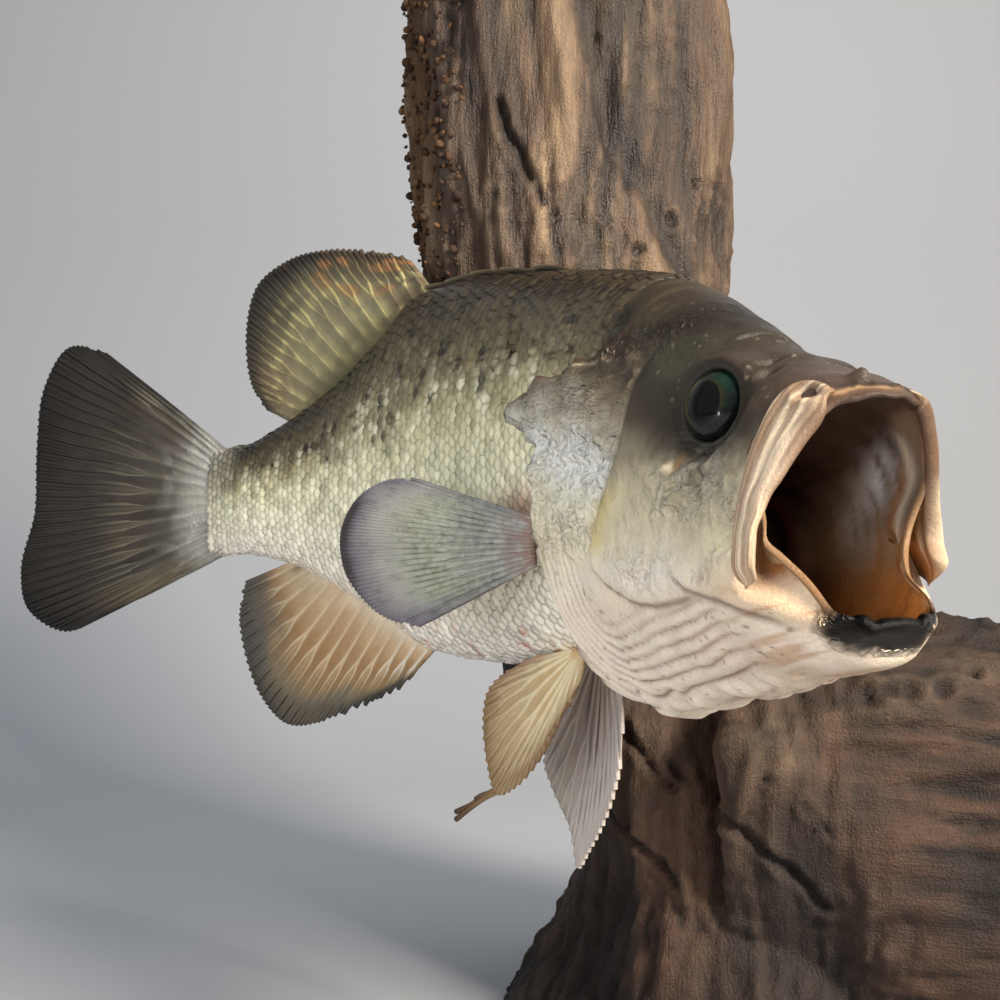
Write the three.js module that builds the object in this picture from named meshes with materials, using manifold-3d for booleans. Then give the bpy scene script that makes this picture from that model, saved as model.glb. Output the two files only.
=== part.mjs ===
// A largemouth bass skin mount: the fish swims out from the side of an upright piece of driftwood,
// its mouth wide open, its body bent and its tail swept forward. Millimetres, +Z up.
// The origin is the middle of the sawn flat under the driftwood, and the display side faces -Y.
//
// The fish is laid out on its own body line: a station s runs along the bent back line from the snout
// to the tail, y is the distance out to the fish's right, and z is the height over the body line.
import * as THREE from 'three';
import { mergeVertices } from 'three/addons/utils/BufferGeometryUtils.js';
import Module from 'manifold-3d';

const wasm = await Module();
wasm.setup();

// ---------------------------------------------------------------- driving dimensions, mm
const FLESH_LENGTH = 368;          // snout to the root of the tail fin
const STRAIGHT_LENGTH = 100;       // the head and nape stay straight; the bend starts here
const NAPE_STATION = 104;          // where the skull ends and the trunk starts
const STALK_STATION = 300;         // where the trunk ends and the tail stalk starts
const THROAT_STATION = 96;         // the back of the mouth cavity
const EYE_RADIUS = 9.8;
const EYE_BULGE = 6.5;             // depth of the glass eye, half its thickness
const EYE_CENTRE = { s: 43.6, y: 19.3, z: 6.8 };
const EYE_FORWARD = 16;            // degrees the eye looks forward and up from straight out
const EYE_UP = 8;
const SEAT_GAP = 0.35;             // clearance between pieces that touch

const LINE_HEIGHT = 215;           // height of the body line at the nape over the floor
const NAPE_PLACE = { x: -40, y: -95 };   // where that point stands over the sawn flat
const SWIM_YAW = 110.3;            // degrees from +X to the tailward direction at the nape
const NOSE_UP = 3.2;
const BODY_ROLL = 0.6;

// ---------------------------------------------------------------- small helpers
const rad = THREE.MathUtils.degToRad;
const v3 = (x, y, z) => new THREE.Vector3(x, y, z);

// A smooth curve through a few (place, value) pairs.
function profile(pairs) {
  const last = pairs.length - 1;
  const slope = pairs.map((_, i) => {
    if (i === 0 || i === last) return 0;
    const before = (pairs[i][1] - pairs[i - 1][1]) / (pairs[i][0] - pairs[i - 1][0]);
    const after = (pairs[i + 1][1] - pairs[i][1]) / (pairs[i + 1][0] - pairs[i][0]);
    return before * after <= 0 ? 0 : (2 * before * after) / (before + after);
  });
  slope[0] = (pairs[1][1] - pairs[0][1]) / (pairs[1][0] - pairs[0][0]);
  slope[last] = (pairs[last][1] - pairs[last - 1][1]) / (pairs[last][0] - pairs[last - 1][0]);
  return (at) => {
    if (at <= pairs[0][0]) return pairs[0][1];
    if (at >= pairs[last][0]) return pairs[last][1];
    const i = pairs.findIndex((pair) => pair[0] > at) - 1;
    const step = pairs[i + 1][0] - pairs[i][0];
    const t = (at - pairs[i][0]) / step;
    const a = (1 + 2 * t) * (1 - t) ** 2;
    const b = t * (1 - t) ** 2;
    const c = t * t * (3 - 2 * t);
    const d = t * t * (t - 1);
    return a * pairs[i][1] + b * step * slope[i] + c * pairs[i + 1][1] + d * step * slope[i + 1];
  };
}

// A closed mesh from a grid of rings: every ring has the same number of points, running round, and
// both ends are closed by a fan to their own middle point.
function loftRings(rings, startPoint, endPoint) {
  const round = rings[0].length;
  const points = rings.flat().concat([startPoint, endPoint]);
  const index = [];
  for (let i = 0; i < rings.length - 1; i += 1) {
    for (let j = 0; j < round; j += 1) {
      const a = i * round + j;
      const b = i * round + ((j + 1) % round);
      index.push(a, b, b + round, a, b + round, a + round);
    }
  }
  const start = rings.length * round;
  const lastRow = (rings.length - 1) * round;
  for (let j = 0; j < round; j += 1) {
    const next = (j + 1) % round;
    index.push(start, next, j, start + 1, lastRow + j, lastRow + next);
  }
  const geometry = new THREE.BufferGeometry();
  geometry.setAttribute('position', new THREE.Float32BufferAttribute(points.flatMap((p) => p.toArray()), 3));
  geometry.setIndex(index);
  return geometry;
}

// A solid from a closed mesh, turned so that its faces point out.
function toSolid(geometry) {
  const bare = geometry.clone();
  bare.deleteAttribute('normal');
  bare.deleteAttribute('uv');
  const merged = mergeVertices(bare, 1e-4);
  const vertProperties = Float32Array.from(merged.attributes.position.array);
  const triVerts = Uint32Array.from(merged.index.array);
  const solidOf = () => new wasm.Manifold(new wasm.Mesh({ numProp: 3, vertProperties, triVerts }));
  const solid = solidOf();
  if (solid.volume() > 0) return solid;
  for (let i = 0; i < triVerts.length; i += 3) {
    [triVerts[i], triVerts[i + 1]] = [triVerts[i + 1], triVerts[i]];
  }
  return solidOf();
}

function toGeometry(solid) {
  const mesh = solid.getMesh();
  const geometry = new THREE.BufferGeometry();
  geometry.setAttribute('position', new THREE.Float32BufferAttribute(mesh.vertProperties, 3));
  geometry.setIndex(Array.from(mesh.triVerts));
  geometry.computeVertexNormals();
  return geometry;
}

// The largest piece of a cut solid, without crumbs.
function mainPiece(solid) {
  return solid.decompose().sort((a, b) => b.volume() - a.volume())[0];
}

// ---------------------------------------------------------------- the bent body line
const bendRate = profile([
  [100, 0], [112, 0.0042], [170, 0.0040], [230, 0.0021], [290, 0.0012],
  [340, 0.0037], [385, 0.0066], [430, 0.0054], [480, 0.0040],
]);
const LINE_STEP = 2;
const bodyLine = [];
{
  let heading = 0;
  let x = -STRAIGHT_LENGTH;
  let y = 0;
  for (let s = 0; s <= 500; s += LINE_STEP) {
    bodyLine.push({ x, y, heading });
    const turn = s < STRAIGHT_LENGTH ? 0 : bendRate(s + LINE_STEP / 2) * LINE_STEP;
    x += Math.cos(heading + turn / 2) * LINE_STEP;
    y += Math.sin(heading + turn / 2) * LINE_STEP;
    heading += turn;
  }
}

// A point of the fish in its own frame, from its station, distance to the right and height.
function fishPoint(s, y, z) {
  const clamped = THREE.MathUtils.clamp(s, 0, 498);
  const i = Math.floor(clamped / LINE_STEP);
  const t = clamped / LINE_STEP - i;
  const a = bodyLine[i];
  const b = bodyLine[i + 1];
  const heading = a.heading + (b.heading - a.heading) * t;
  const over = s - clamped;
  const cx = a.x + (b.x - a.x) * t + over * Math.cos(heading);
  const cy = a.y + (b.y - a.y) * t + over * Math.sin(heading);
  return v3(cx - Math.sin(heading) * y, cy + Math.cos(heading) * y, z);
}

// ---------------------------------------------------------------- body outlines by station
const trunkTop = profile([[90, 51], [104, 56.4], [135, 64.5], [160, 69.5], [190, 74], [215, 77],
  [238, 76], [260, 64], [290, 46], [325, 31], [350, 23], [368, 22]]);
const trunkBottom = profile([[90, -50], [115, -57], [140, -61.5], [165, -65], [200, -68],
  [232, -66], [260, -55], [290, -42], [325, -30], [350, -26], [368, -26.5]]);
const trunkWidth = profile([[90, 28], [115, 33], [150, 35.5], [185, 34.5], [220, 31], [260, 24],
  [300, 16.5], [340, 10.5], [368, 6.5]]);
const trunkMiddle = profile([[90, 4], [150, 6], [220, 4], [300, 0], [368, -2]]);

const headTop = profile([[-3, 5], [0, 7.5], [6, 10], [20, 14], [35, 20], [50, 28], [70, 39.5],
  [87, 48.5], [104, 56.4], [140, 68]]);
const headBottom = profile([[-3, -52.5], [0, -55], [6, -57], [14, -59], [26, -61], [45, -65],
  [75, -71], [100, -75.5], [118, -75.5], [140, -70]]);
const headWidth = profile([[-3, 8], [0, 12], [6, 18], [14, 23], [26, 28.5], [45, 29.5], [75, 32.5],
  [105, 36], [125, 38], [140, 38.5]]);
const headMiddle = profile([[-3, -22], [20, -28], [45, -24], [75, -10], [104, 2], [140, 6]]);
const headSquare = profile([[-3, 3.2], [20, 2.5], [42, 2.05], [80, 2.1], [140, 2.15]]);

const mouthTop = profile([[-3, 2], [6, 4.5], [14, 5], [26, 3], [45, -5], [70, -15], [96, -24]]);
const mouthBottom = profile([[-3, -48.5], [6, -51.5], [26, -55], [50, -57], [72, -55], [96, -47]]);
const mouthWidth = profile([[-3, 5], [0, 8.5], [6, 13], [14, 18], [26, 23.5], [45, 22.5], [70, 18], [96, 9]]);
const mouthMiddle = profile([[-3, -22], [26, -22], [60, -30], [96, -36]]);

// How far the mouth's rim and the free edge of the gill cover stand back, by the angle round the body:
// 90 is the top, 0 the right side and -90 the bottom, and the left side mirrors the right.
const rimSetback = profile([[-90, -2], [-50, 0], [-31, 4.6], [-20, 8], [-11, 12], [0, 19], [14, 13], [30, 8],
  [60, 1.5], [90, -2]]);
const gillEdge = profile([[-90, 119], [-70, 126], [-50, 131], [-25, 133], [0, 134.5], [14, 137], [30, 121],
  [45, 107], [60, NAPE_STATION], [90, NAPE_STATION]]);

function sectionPoint(s, angle, outline) {
  const c = Math.cos(angle);
  const q = Math.sin(angle);
  const power = 2 / outline.square;
  const y = outline.width * Math.sign(c) * Math.abs(c) ** power;
  const reach = q > 0 ? outline.top - outline.middle : outline.middle - outline.bottom;
  return fishPoint(s, y, outline.middle + reach * Math.sign(q) * Math.abs(q) ** power);
}
const trunkOutline = (s, grow = 0) => ({
  top: trunkTop(s) + grow, bottom: trunkBottom(s) - grow, width: trunkWidth(s) + grow,
  middle: trunkMiddle(s), square: 2.1,
});
const headOutline = (s) => ({
  top: headTop(s), bottom: headBottom(s), width: headWidth(s), middle: headMiddle(s),
  square: headSquare(s),
});
const mouthOutline = (s) => ({
  top: mouthTop(s), bottom: mouthBottom(s), width: mouthWidth(s), middle: mouthMiddle(s), square: 2.6,
});
// The angle folded to the right side, in degrees, for the two edge curves.
const foldAngle = (angle) => THREE.MathUtils.radToDeg(Math.asin(Math.sin(angle)));

// ---------------------------------------------------------------- flesh solids
const ROUND = 24;
const around = Array.from({ length: ROUND }, (_, j) => ((j + 0.5) / ROUND) * Math.PI * 2);

function trunkLoft(from, to, steps, grow = 0) {
  const rings = [];
  for (let i = 0; i <= steps; i += 1) {
    const s = from + ((to - from) * i) / steps;
    rings.push(around.map((angle) => sectionPoint(s, angle, trunkOutline(s, grow))));
  }
  return toSolid(loftRings(rings, fishPoint(from, 0, trunkMiddle(from)), fishPoint(to, 0, trunkMiddle(to))));
}

// The head runs as one wall from the back of the mouth cavity forward to the rim, over it, and back
// along the outside to the free edge of the gill covers.
function headLoft() {
  const rings = [];
  const insideSteps = 7;
  const outsideSteps = 12;
  for (let i = 0; i <= insideSteps; i += 1) {
    rings.push(around.map((angle) => {
      const rim = rimSetback(foldAngle(angle));
      const s = THREE.MathUtils.lerp(THROAT_STATION, rim, i / insideSteps);
      return sectionPoint(s, angle, mouthOutline(s));
    }));
  }
  for (let i = 0; i <= outsideSteps; i += 1) {
    rings.push(around.map((angle) => {
      const rim = rimSetback(foldAngle(angle));
      const s = THREE.MathUtils.lerp(rim, gillEdge(foldAngle(angle)), (i / outsideSteps) ** 1.15);
      return sectionPoint(s, angle, headOutline(s));
    }));
  }
  return toSolid(loftRings(rings, fishPoint(THROAT_STATION, 0, -36), fishPoint(NAPE_STATION + 3, 0, 4)));
}

// A prism over an outline drawn in the side view (station, height), between two distances out from the
// middle plane. The head is straight, so its side view needs no bend.
function sidePrism(outline, near, far) {
  const shape = new THREE.Shape(outline.map(([s, z]) => new THREE.Vector2(s - STRAIGHT_LENGTH, z)));
  const geometry = new THREE.ExtrudeGeometry(shape, { depth: far - near, bevelEnabled: false });
  geometry.rotateX(Math.PI / 2);
  geometry.translate(0, far, 0);
  return toSolid(geometry);
}

const wholeTrunk = trunkLoft(NAPE_STATION + SEAT_GAP, STALK_STATION, 14);
const tailStalk = trunkLoft(STALK_STATION + SEAT_GAP, FLESH_LENGTH, 6);
const headWall = headLoft().subtract(trunkLoft(NAPE_STATION, STALK_STATION, 14, SEAT_GAP));

// Cutting outlines in the side view. Each later cut takes what the earlier ones left.
const gillCoverOutline = [[86, 34], [97, 43], [112, 45], [150, 34], [150, -46], [118, -51], [100, -47],
  [90, -34], [84, -6]];
const throatOutline = [[58, -56], [86, -42], [104, -49], [150, -49], [150, -95], [50, -95]];
const jawOutline = [[-20, -46.5], [16, -47.5], [31, -42], [62, -33], [78, -33], [84, -41], [56, -56], [40, -95],
  [-20, -95]];
const maxillaOutline = [[-10, 8], [6, 8.5], [17, 2], [27, -14], [35, -30], [34, -38], [24, -43], [-10, -40]];
const COVER_DEPTH = 21;
const MAXILLA_DEPTH = 9;

// Cuts a piece off and returns it with the rest, a hair apart.
function cutOff(solid, cutter, widerCutter) {
  return { piece: mainPiece(solid.intersect(cutter)), rest: solid.subtract(widerCutter) };
}

// The same outline, drawn a little larger about its own middle.
function widen(outline, by) {
  const shape = outline.map(([s, z]) => new THREE.Vector2(s, z));
  const middle = shape.reduce((sum, p) => sum.add(p), new THREE.Vector2()).divideScalar(shape.length);
  return shape.map((p) => {
    const out = p.clone().sub(middle);
    return p.clone().add(out.setLength(by)).toArray();
  });
}

let rest = headWall;
const fleshPieces = {};
for (const [side, sign] of [['right', 1], ['left', -1]]) {
  const span = (depth, grow) => (sign > 0 ? [depth - grow, 80] : [-80, -depth + grow]);
  const cover = cutOff(rest, sidePrism(gillCoverOutline, ...span(COVER_DEPTH, 0)),
    sidePrism(widen(gillCoverOutline, 0.5), ...span(COVER_DEPTH, SEAT_GAP)));
  fleshPieces[`gill_cover_${side}`] = cover.piece;
  const maxilla = cutOff(cover.rest, sidePrism(maxillaOutline, ...span(MAXILLA_DEPTH, 0)),
    sidePrism(widen(maxillaOutline, 0.5), ...span(MAXILLA_DEPTH, SEAT_GAP)));
  fleshPieces[`maxilla_${side}`] = maxilla.piece;
  rest = maxilla.rest;
}
const throatCut = cutOff(rest, sidePrism(throatOutline, -80, 80), sidePrism(widen(throatOutline, 0.5), -80, 80));
const jawCut = cutOff(throatCut.rest, sidePrism(jawOutline, -80, 80), sidePrism(widen(jawOutline, 0.5), -80, 80));

// ---------------------------------------------------------------- eyes
function eyeSolid(sign, grow = 0) {
  const ball = new THREE.SphereGeometry(1, 16, 10);
  const centre = fishPoint(EYE_CENTRE.s, sign * EYE_CENTRE.y, EYE_CENTRE.z);
  ball.scale(EYE_RADIUS + grow, EYE_BULGE + grow, EYE_RADIUS + grow);
  ball.rotateX(sign * rad(EYE_UP));
  ball.rotateZ(sign * rad(EYE_FORWARD));
  ball.translate(centre.x, centre.y, centre.z);
  return toSolid(ball);
}
let skull = jawCut.rest;
for (const sign of [1, -1]) skull = skull.subtract(eyeSolid(sign, SEAT_GAP));
fleshPieces.head = mainPiece(skull);
fleshPieces.throat = throatCut.piece;
fleshPieces.lower_jaw = jawCut.piece;
fleshPieces.trunk = wholeTrunk;
fleshPieces.tail_stalk = tailStalk;

// ---------------------------------------------------------------- fins
// A fin is a fan of rays: place(t, r) gives a point, t from 0 to 1 across the rays along the root and
// r from 0 at the root to 1 at the margin. The blade is thickened to both sides of that surface, and a
// narrow strip closes it all the way round.
function finBlade(place, across, along, rootThick, edgeThick) {
  const points = [];
  const e = 0.01;
  for (const side of [1, -1]) {
    for (let i = 0; i <= along; i += 1) {
      for (let j = 0; j <= across; j += 1) {
        const r = i / along;
        const t = j / across;
        const acrossRays = place(Math.min(t + e, 1), r).sub(place(Math.max(t - e, 0), r));
        const alongRays = place(t, Math.min(r + e, 1)).sub(place(t, Math.max(r - e, 0)));
        const out = acrossRays.cross(alongRays).normalize();
        points.push(place(t, r).addScaledVector(out, (side * THREE.MathUtils.lerp(rootThick, edgeThick, r)) / 2));
      }
    }
  }
  const row = across + 1;
  const under = (along + 1) * row;
  const index = [];
  const quad = (a, b, c, d) => index.push(a, b, c, a, c, d);
  for (let i = 0; i < along; i += 1) {
    for (let j = 0; j < across; j += 1) {
      const a = i * row + j;
      quad(a, a + 1, a + row + 1, a + row);
      quad(under + a, under + a + row, under + a + row + 1, under + a + 1);
    }
  }
  const rim = [];
  for (let j = 0; j < across; j += 1) rim.push(j);
  for (let i = 0; i < along; i += 1) rim.push(i * row + across);
  for (let j = across; j > 0; j -= 1) rim.push(along * row + j);
  for (let i = along; i > 0; i -= 1) rim.push(i * row);
  rim.forEach((a, k) => {
    const b = rim[(k + 1) % rim.length];
    quad(b, a, under + a, under + b);
  });
  const geometry = new THREE.BufferGeometry();
  geometry.setAttribute('position', new THREE.Float32BufferAttribute(points.flatMap((p) => p.toArray()), 3));
  geometry.setIndex(index);
  return geometry;
}

const wave = (t) => Math.sin(Math.PI * t);

// A smooth curve through margin points (station, height) or (station, out, height), by t from 0 to 1.
function marginCurve(points) {
  const curve = new THREE.CatmullRomCurve3(points.map((p) => v3(...p)), false, 'centripetal');
  return (t) => curve.getPoint(THREE.MathUtils.clamp(t, 0, 1));
}

// A fin on the middle plane: straight rays from the root line to the margin, with a slight side wave.
const medianFin = (root, margin, sway) => (t, r) => {
  const from = root(t);
  const to = margin(t);
  return fishPoint(THREE.MathUtils.lerp(from[0], to.x, r), sway * wave(r / 2) * Math.sin(5 * t),
    THREE.MathUtils.lerp(from[1], to.z, r));
};

const ROOT_SINK = 0.8;             // fin roots start this deep under the skin line
const tailFinPlace = medianFin(
  (t) => [FLESH_LENGTH + SEAT_GAP, THREE.MathUtils.lerp(21.5, -26, t)],
  marginCurve([[424, 0, 69], [441, 0, 71], [452, 0, 52], [455, 0, 24], [456, 0, -6], [462, 0, -31],
    [459, 0, -50], [443, 0, -60], [424, 0, -52]]),
  2.2,
);
const DORSAL_ROOT = { from: 238, to: 322 };
const softDorsalPlace = medianFin(
  (t) => {
    const s = THREE.MathUtils.lerp(DORSAL_ROOT.from, DORSAL_ROOT.to, t);
    return [s, trunkTop(s) - ROOT_SINK];
  },
  marginCurve([[254, 0, 92], [272, 0, 97.5], [298, 0, 102], [322, 0, 101.5], [343, 0, 93], [351, 0, 74],
    [350, 0, 52], [341, 0, 38]]),
  3,
);
const ANAL_ROOT = { from: 238, to: 320 };
const analFinPlace = medianFin(
  (t) => {
    const s = THREE.MathUtils.lerp(ANAL_ROOT.from, ANAL_ROOT.to, t);
    return [s, trunkBottom(s) + ROOT_SINK];
  },
  marginCurve([[256, 0, -79], [280, 0, -88], [308, 0, -97], [329, 0, -99], [343, 0, -85], [351, 0, -58],
    [348, 0, -38]]),
  -3,
);

// Spiny dorsal fin: folded flat, a low keel along the back in front of the soft fin.
function spinyDorsalPlace(t, r) {
  const root = THREE.MathUtils.lerp(168, 226, t);
  return fishPoint(root + 5 * r, 0, trunkTop(root) - ROOT_SINK + 4.5 * r * wave(0.1 + 0.8 * t));
}

// Paired fins: a fan from a short root to a margin, hollowed by a bulge along its normal.
const pairedFin = (side, root, margin, bulge) => (t, r) => {
  const from = fishPoint(THREE.MathUtils.lerp(root[0][0], root[1][0], t),
    side * THREE.MathUtils.lerp(root[0][1], root[1][1], t), THREE.MathUtils.lerp(root[0][2], root[1][2], t));
  const edge = margin(t);
  const to = fishPoint(edge.x, side * edge.y, edge.z);
  return from.lerp(to, r).add(v3(0, side * bulge * wave(r) * wave(t), 0));
};
const pectoral = (side, margin) => pairedFin(side, [[137, 36.4, -17], [140, 35.2, -35]], margin, 3);
const pectoralRightMargin = marginCurve([[176, 56, -4], [193, 62, -5], [204, 66, -11], [209, 69, -22],
  [205, 69, -35], [189, 66, -47], [168, 60, -52]]);
const pectoralLeftMargin = marginCurve([[152, 66, -3], [158, 78, -2], [161, 87, -7], [161, 92, -17],
  [158, 90, -29], [152, 81, -39], [146, 68, -44]]);
const pelvicRight = pairedFin(1, [[151, 9, -64], [143, 12, -64]], marginCurve([[174, 15, -69],
  [186, 18, -74], [192, 20, -87], [191, 20, -99], [185, 20, -109], [174, 18, -105]]), 2);
const pelvicLeft = pairedFin(-1, [[153, 6, -66], [145, 9, -65]], marginCurve([[181, 6, -97],
  [186, 7, -107], [184, 8, -122], [172, 8, -138], [158, 8, -126], [149, 7, -108]]), 2);

const fins = {
  tail_fin: finBlade(tailFinPlace, 22, 6, 5, 1.2),
  soft_dorsal_fin: finBlade(softDorsalPlace, 16, 4, 3, 1),
  spiny_dorsal_fin: finBlade(spinyDorsalPlace, 12, 2, 4, 2),
  anal_fin: finBlade(analFinPlace, 16, 4, 3, 1),
  pectoral_fin_right: finBlade(pectoral(1, pectoralRightMargin), 14, 5, 2.4, 1),
  pectoral_fin_left: finBlade(pectoral(-1, pectoralLeftMargin), 14, 5, 2.4, 1),
  pelvic_fin_right: finBlade(pelvicRight, 10, 5, 2.6, 1),
  pelvic_fin_left: finBlade(pelvicLeft, 10, 5, 2.6, 1),
};

// ---------------------------------------------------------------- materials
const finish = (colour, roughness) => new THREE.MeshStandardMaterial({ color: colour, roughness, metalness: 0 });
const skinFinish = finish('#8c8858', 0.35);
const headFinish = finish('#6c6648', 0.35);
const jawFinish = finish('#c39a72', 0.4);
const throatFinish = finish('#d8c0a4', 0.4);
const coverFinish = finish('#b0a878', 0.3);
const tailFinFinish = finish('#3a352e', 0.4);
const dorsalFinish = finish('#75704c', 0.4);
const analFinish = finish('#9a7a4e', 0.4);
const pectoralFinish = finish('#8a8684', 0.35);
const pelvicFinish = finish('#b8976a', 0.45);
const glassFinish = finish('#101a14', 0.05);
const woodFinish = finish('#6b4a32', 0.75);

const finishes = {
  head: headFinish, lower_jaw: jawFinish, throat: throatFinish, trunk: skinFinish, tail_stalk: skinFinish,
  gill_cover_right: coverFinish, gill_cover_left: coverFinish,
  maxilla_right: jawFinish, maxilla_left: jawFinish,
  tail_fin: tailFinFinish, soft_dorsal_fin: dorsalFinish, spiny_dorsal_fin: dorsalFinish,
  anal_fin: analFinish, pectoral_fin_right: pectoralFinish, pectoral_fin_left: pectoralFinish,
  pelvic_fin_right: pelvicFinish, pelvic_fin_left: pelvicFinish,
};

// ---------------------------------------------------------------- the fish
const fish = new THREE.Group();
fish.rotation.order = 'ZYX';
fish.rotation.set(rad(BODY_ROLL), rad(NOSE_UP), rad(SWIM_YAW));
fish.position.set(NAPE_PLACE.x, NAPE_PLACE.y, LINE_HEIGHT);
fish.updateMatrixWorld(true);

function addPart(parent, name, geometry, material) {
  const mesh = new THREE.Mesh(geometry, material);
  mesh.name = name;
  parent.add(mesh);
}

for (const [name, solid] of Object.entries(fleshPieces)) {
  addPart(fish, name, toGeometry(solid), finishes[name]);
}
const fleshForFins = [trunkLoft(NAPE_STATION, STALK_STATION, 14, SEAT_GAP),
  trunkLoft(STALK_STATION, FLESH_LENGTH + 0.1, 6, SEAT_GAP)];
for (const [name, geometry] of Object.entries(fins)) {
  let blade = toSolid(geometry);
  for (const flesh of fleshForFins) blade = blade.subtract(flesh);
  if (name.startsWith('pectoral') || name.startsWith('pelvic')) blade = blade.subtract(headWall);
  addPart(fish, name, toGeometry(mainPiece(blade)), finishes[name]);
}
for (const [side, sign] of [['right', 1], ['left', -1]]) {
  addPart(fish, `eye_${side}`, toGeometry(eyeSolid(sign)), glassFinish);
}

// ---------------------------------------------------------------- driftwood
// The stem leans behind the fish's left flank and flares to a foot. Its middle, half width and half
// depth are given by height over the floor.
const STEM_TOP = 420;
const STEM_BREAK = 16;             // how much the broken top slants
const stemX = profile([[0, 0], [60, 4], [110, -18], [160, -44], [215, -58], [260, -60], [340, -64], [420, -68]]);
const stemY = profile([[0, 20], [60, 28], [130, 40], [200, 58], [260, 68], [340, 72], [420, 70]]);
const stemWide = profile([[0, 92], [40, 72], [90, 62], [150, 62], [220, 66], [280, 66], [340, 68], [420, 66]]);
const stemDeep = profile([[0, 88], [40, 78], [100, 62], [160, 52], [240, 46], [420, 44]]);

// The root leaves the stem's foot to the right and forward, by distance along its run: the height of its
// middle, how far it rises over that and its half width. Its underside is sawn off with the foot.
const ROOT_RUN = 205;
const ROOT_START = { x: 0, y: 10 };
const ROOT_HEADING = rad(-16);
const rootMiddle = profile([[0, 96], [60, 90], [120, 72], [170, 54], [205, 38]]);
const rootHigh = profile([[0, 60], [60, 64], [120, 71], [170, 62], [205, 30]]);
const rootWide = profile([[0, 66], [60, 66], [120, 62], [170, 50], [205, 24]]);
const ROOT_DEPTH = 1.5;            // the uncut root reaches this many times its middle's height down

// Rings whose radius swells and dips in long knots, as old wood does.
function woodLoft(length, steps, knotLength, place) {
  const rings = [];
  for (let i = 0; i <= steps; i += 1) {
    const run = (length * i) / steps;
    rings.push(around.map((angle) => {
      const knot = 1 + 0.05 * Math.sin(3 * angle + run / knotLength) + 0.03 * Math.sin(7 * angle - run / 26);
      return place(run, knot * Math.cos(angle), knot * Math.sin(angle));
    }));
  }
  return toSolid(loftRings(rings, place(0, 0, 0), place(length, 0, 0)));
}
const stemLoft = () => woodLoft(STEM_TOP, 15, 46, (run, a, b) => v3(
  stemX(run) + stemWide(run) * a,
  stemY(run) + stemDeep(run) * b,
  run + STEM_BREAK * (run / STEM_TOP) ** 8 * (0.4 - 0.6 * a),
));
const rootLoft = () => woodLoft(ROOT_RUN, 10, 27, (run, a, b) => v3(
  ROOT_START.x + run * Math.cos(ROOT_HEADING) - rootWide(run) * a * Math.sin(ROOT_HEADING),
  ROOT_START.y + run * Math.sin(ROOT_HEADING) + rootWide(run) * a * Math.cos(ROOT_HEADING),
  rootMiddle(run) + (b > 0 ? rootHigh(run) : ROOT_DEPTH * rootMiddle(run)) * b,
));

const floorCutter = toSolid(new THREE.BoxGeometry(1000, 1000, 200).translate(0, 0, -100));
let wood = stemLoft().add(rootLoft()).subtract(floorCutter);
for (const solid of [trunkLoft(NAPE_STATION, STALK_STATION, 14, SEAT_GAP),
  trunkLoft(STALK_STATION, FLESH_LENGTH, 6, SEAT_GAP), headLoft()]) {
  wood = wood.subtract(solid.transform(fish.matrixWorld.toArray()));
}
const object = new THREE.Group();
object.add(fish);
addPart(object, 'driftwood', toGeometry(mainPiece(wood)), woodFinish);

export default object;
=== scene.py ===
# %% [markdown]
# A mounted largemouth bass, built as a taxidermist's skin mount on an upright piece of driftwood.
#
# The solids of the frame say where everything is and how big it is. This script gives each one its look:
# one continuous skin for the fish, scales of real mesh laid over it, jaw plates, glass eyes, rayed fins
# and weathered wood. Each step starts with a few words on what the real thing is and why it is made so.

import math

import bmesh
import bpy
import numpy as np
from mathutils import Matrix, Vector
from mathutils.bvhtree import BVHTree


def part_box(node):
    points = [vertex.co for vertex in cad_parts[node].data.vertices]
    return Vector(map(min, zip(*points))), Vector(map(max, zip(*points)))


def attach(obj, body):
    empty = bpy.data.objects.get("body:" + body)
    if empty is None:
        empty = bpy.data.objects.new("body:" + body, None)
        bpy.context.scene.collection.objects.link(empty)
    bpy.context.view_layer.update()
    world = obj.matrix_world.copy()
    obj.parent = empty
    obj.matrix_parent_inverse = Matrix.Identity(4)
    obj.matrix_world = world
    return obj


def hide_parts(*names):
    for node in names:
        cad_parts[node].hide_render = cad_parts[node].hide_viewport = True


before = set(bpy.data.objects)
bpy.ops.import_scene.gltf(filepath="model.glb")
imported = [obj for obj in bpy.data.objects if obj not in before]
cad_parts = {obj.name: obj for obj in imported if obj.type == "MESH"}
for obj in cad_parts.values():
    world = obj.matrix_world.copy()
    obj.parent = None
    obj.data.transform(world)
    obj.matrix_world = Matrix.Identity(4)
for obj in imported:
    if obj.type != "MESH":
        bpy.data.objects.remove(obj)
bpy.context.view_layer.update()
print("nodes:", sorted(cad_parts))

# %% [markdown]
# The camera comes first, so that every later step can be looked at through it. It stands level, a little
# above the middle of the fish, 0.38 m from it, with a lens close to what the eye sees.

# %% Camera
camera = bpy.data.objects.new("camera", bpy.data.cameras.new("camera"))
bpy.context.scene.collection.objects.link(camera)
camera.location = (-0.0939, -0.472, 0.2015)
camera.rotation_euler = (math.radians(90), 0, 0)
camera.data.lens = 45
camera.data.sensor_width = 36
bpy.context.scene.camera = camera

# %% [markdown]
# Every shape below is a formula in millimetres, so three small tools are needed: a smooth curve through a
# few given values, a soft step, and a random field that is the same on every run.

# %% Curves, steps and random fields
MM = 0.001


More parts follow.
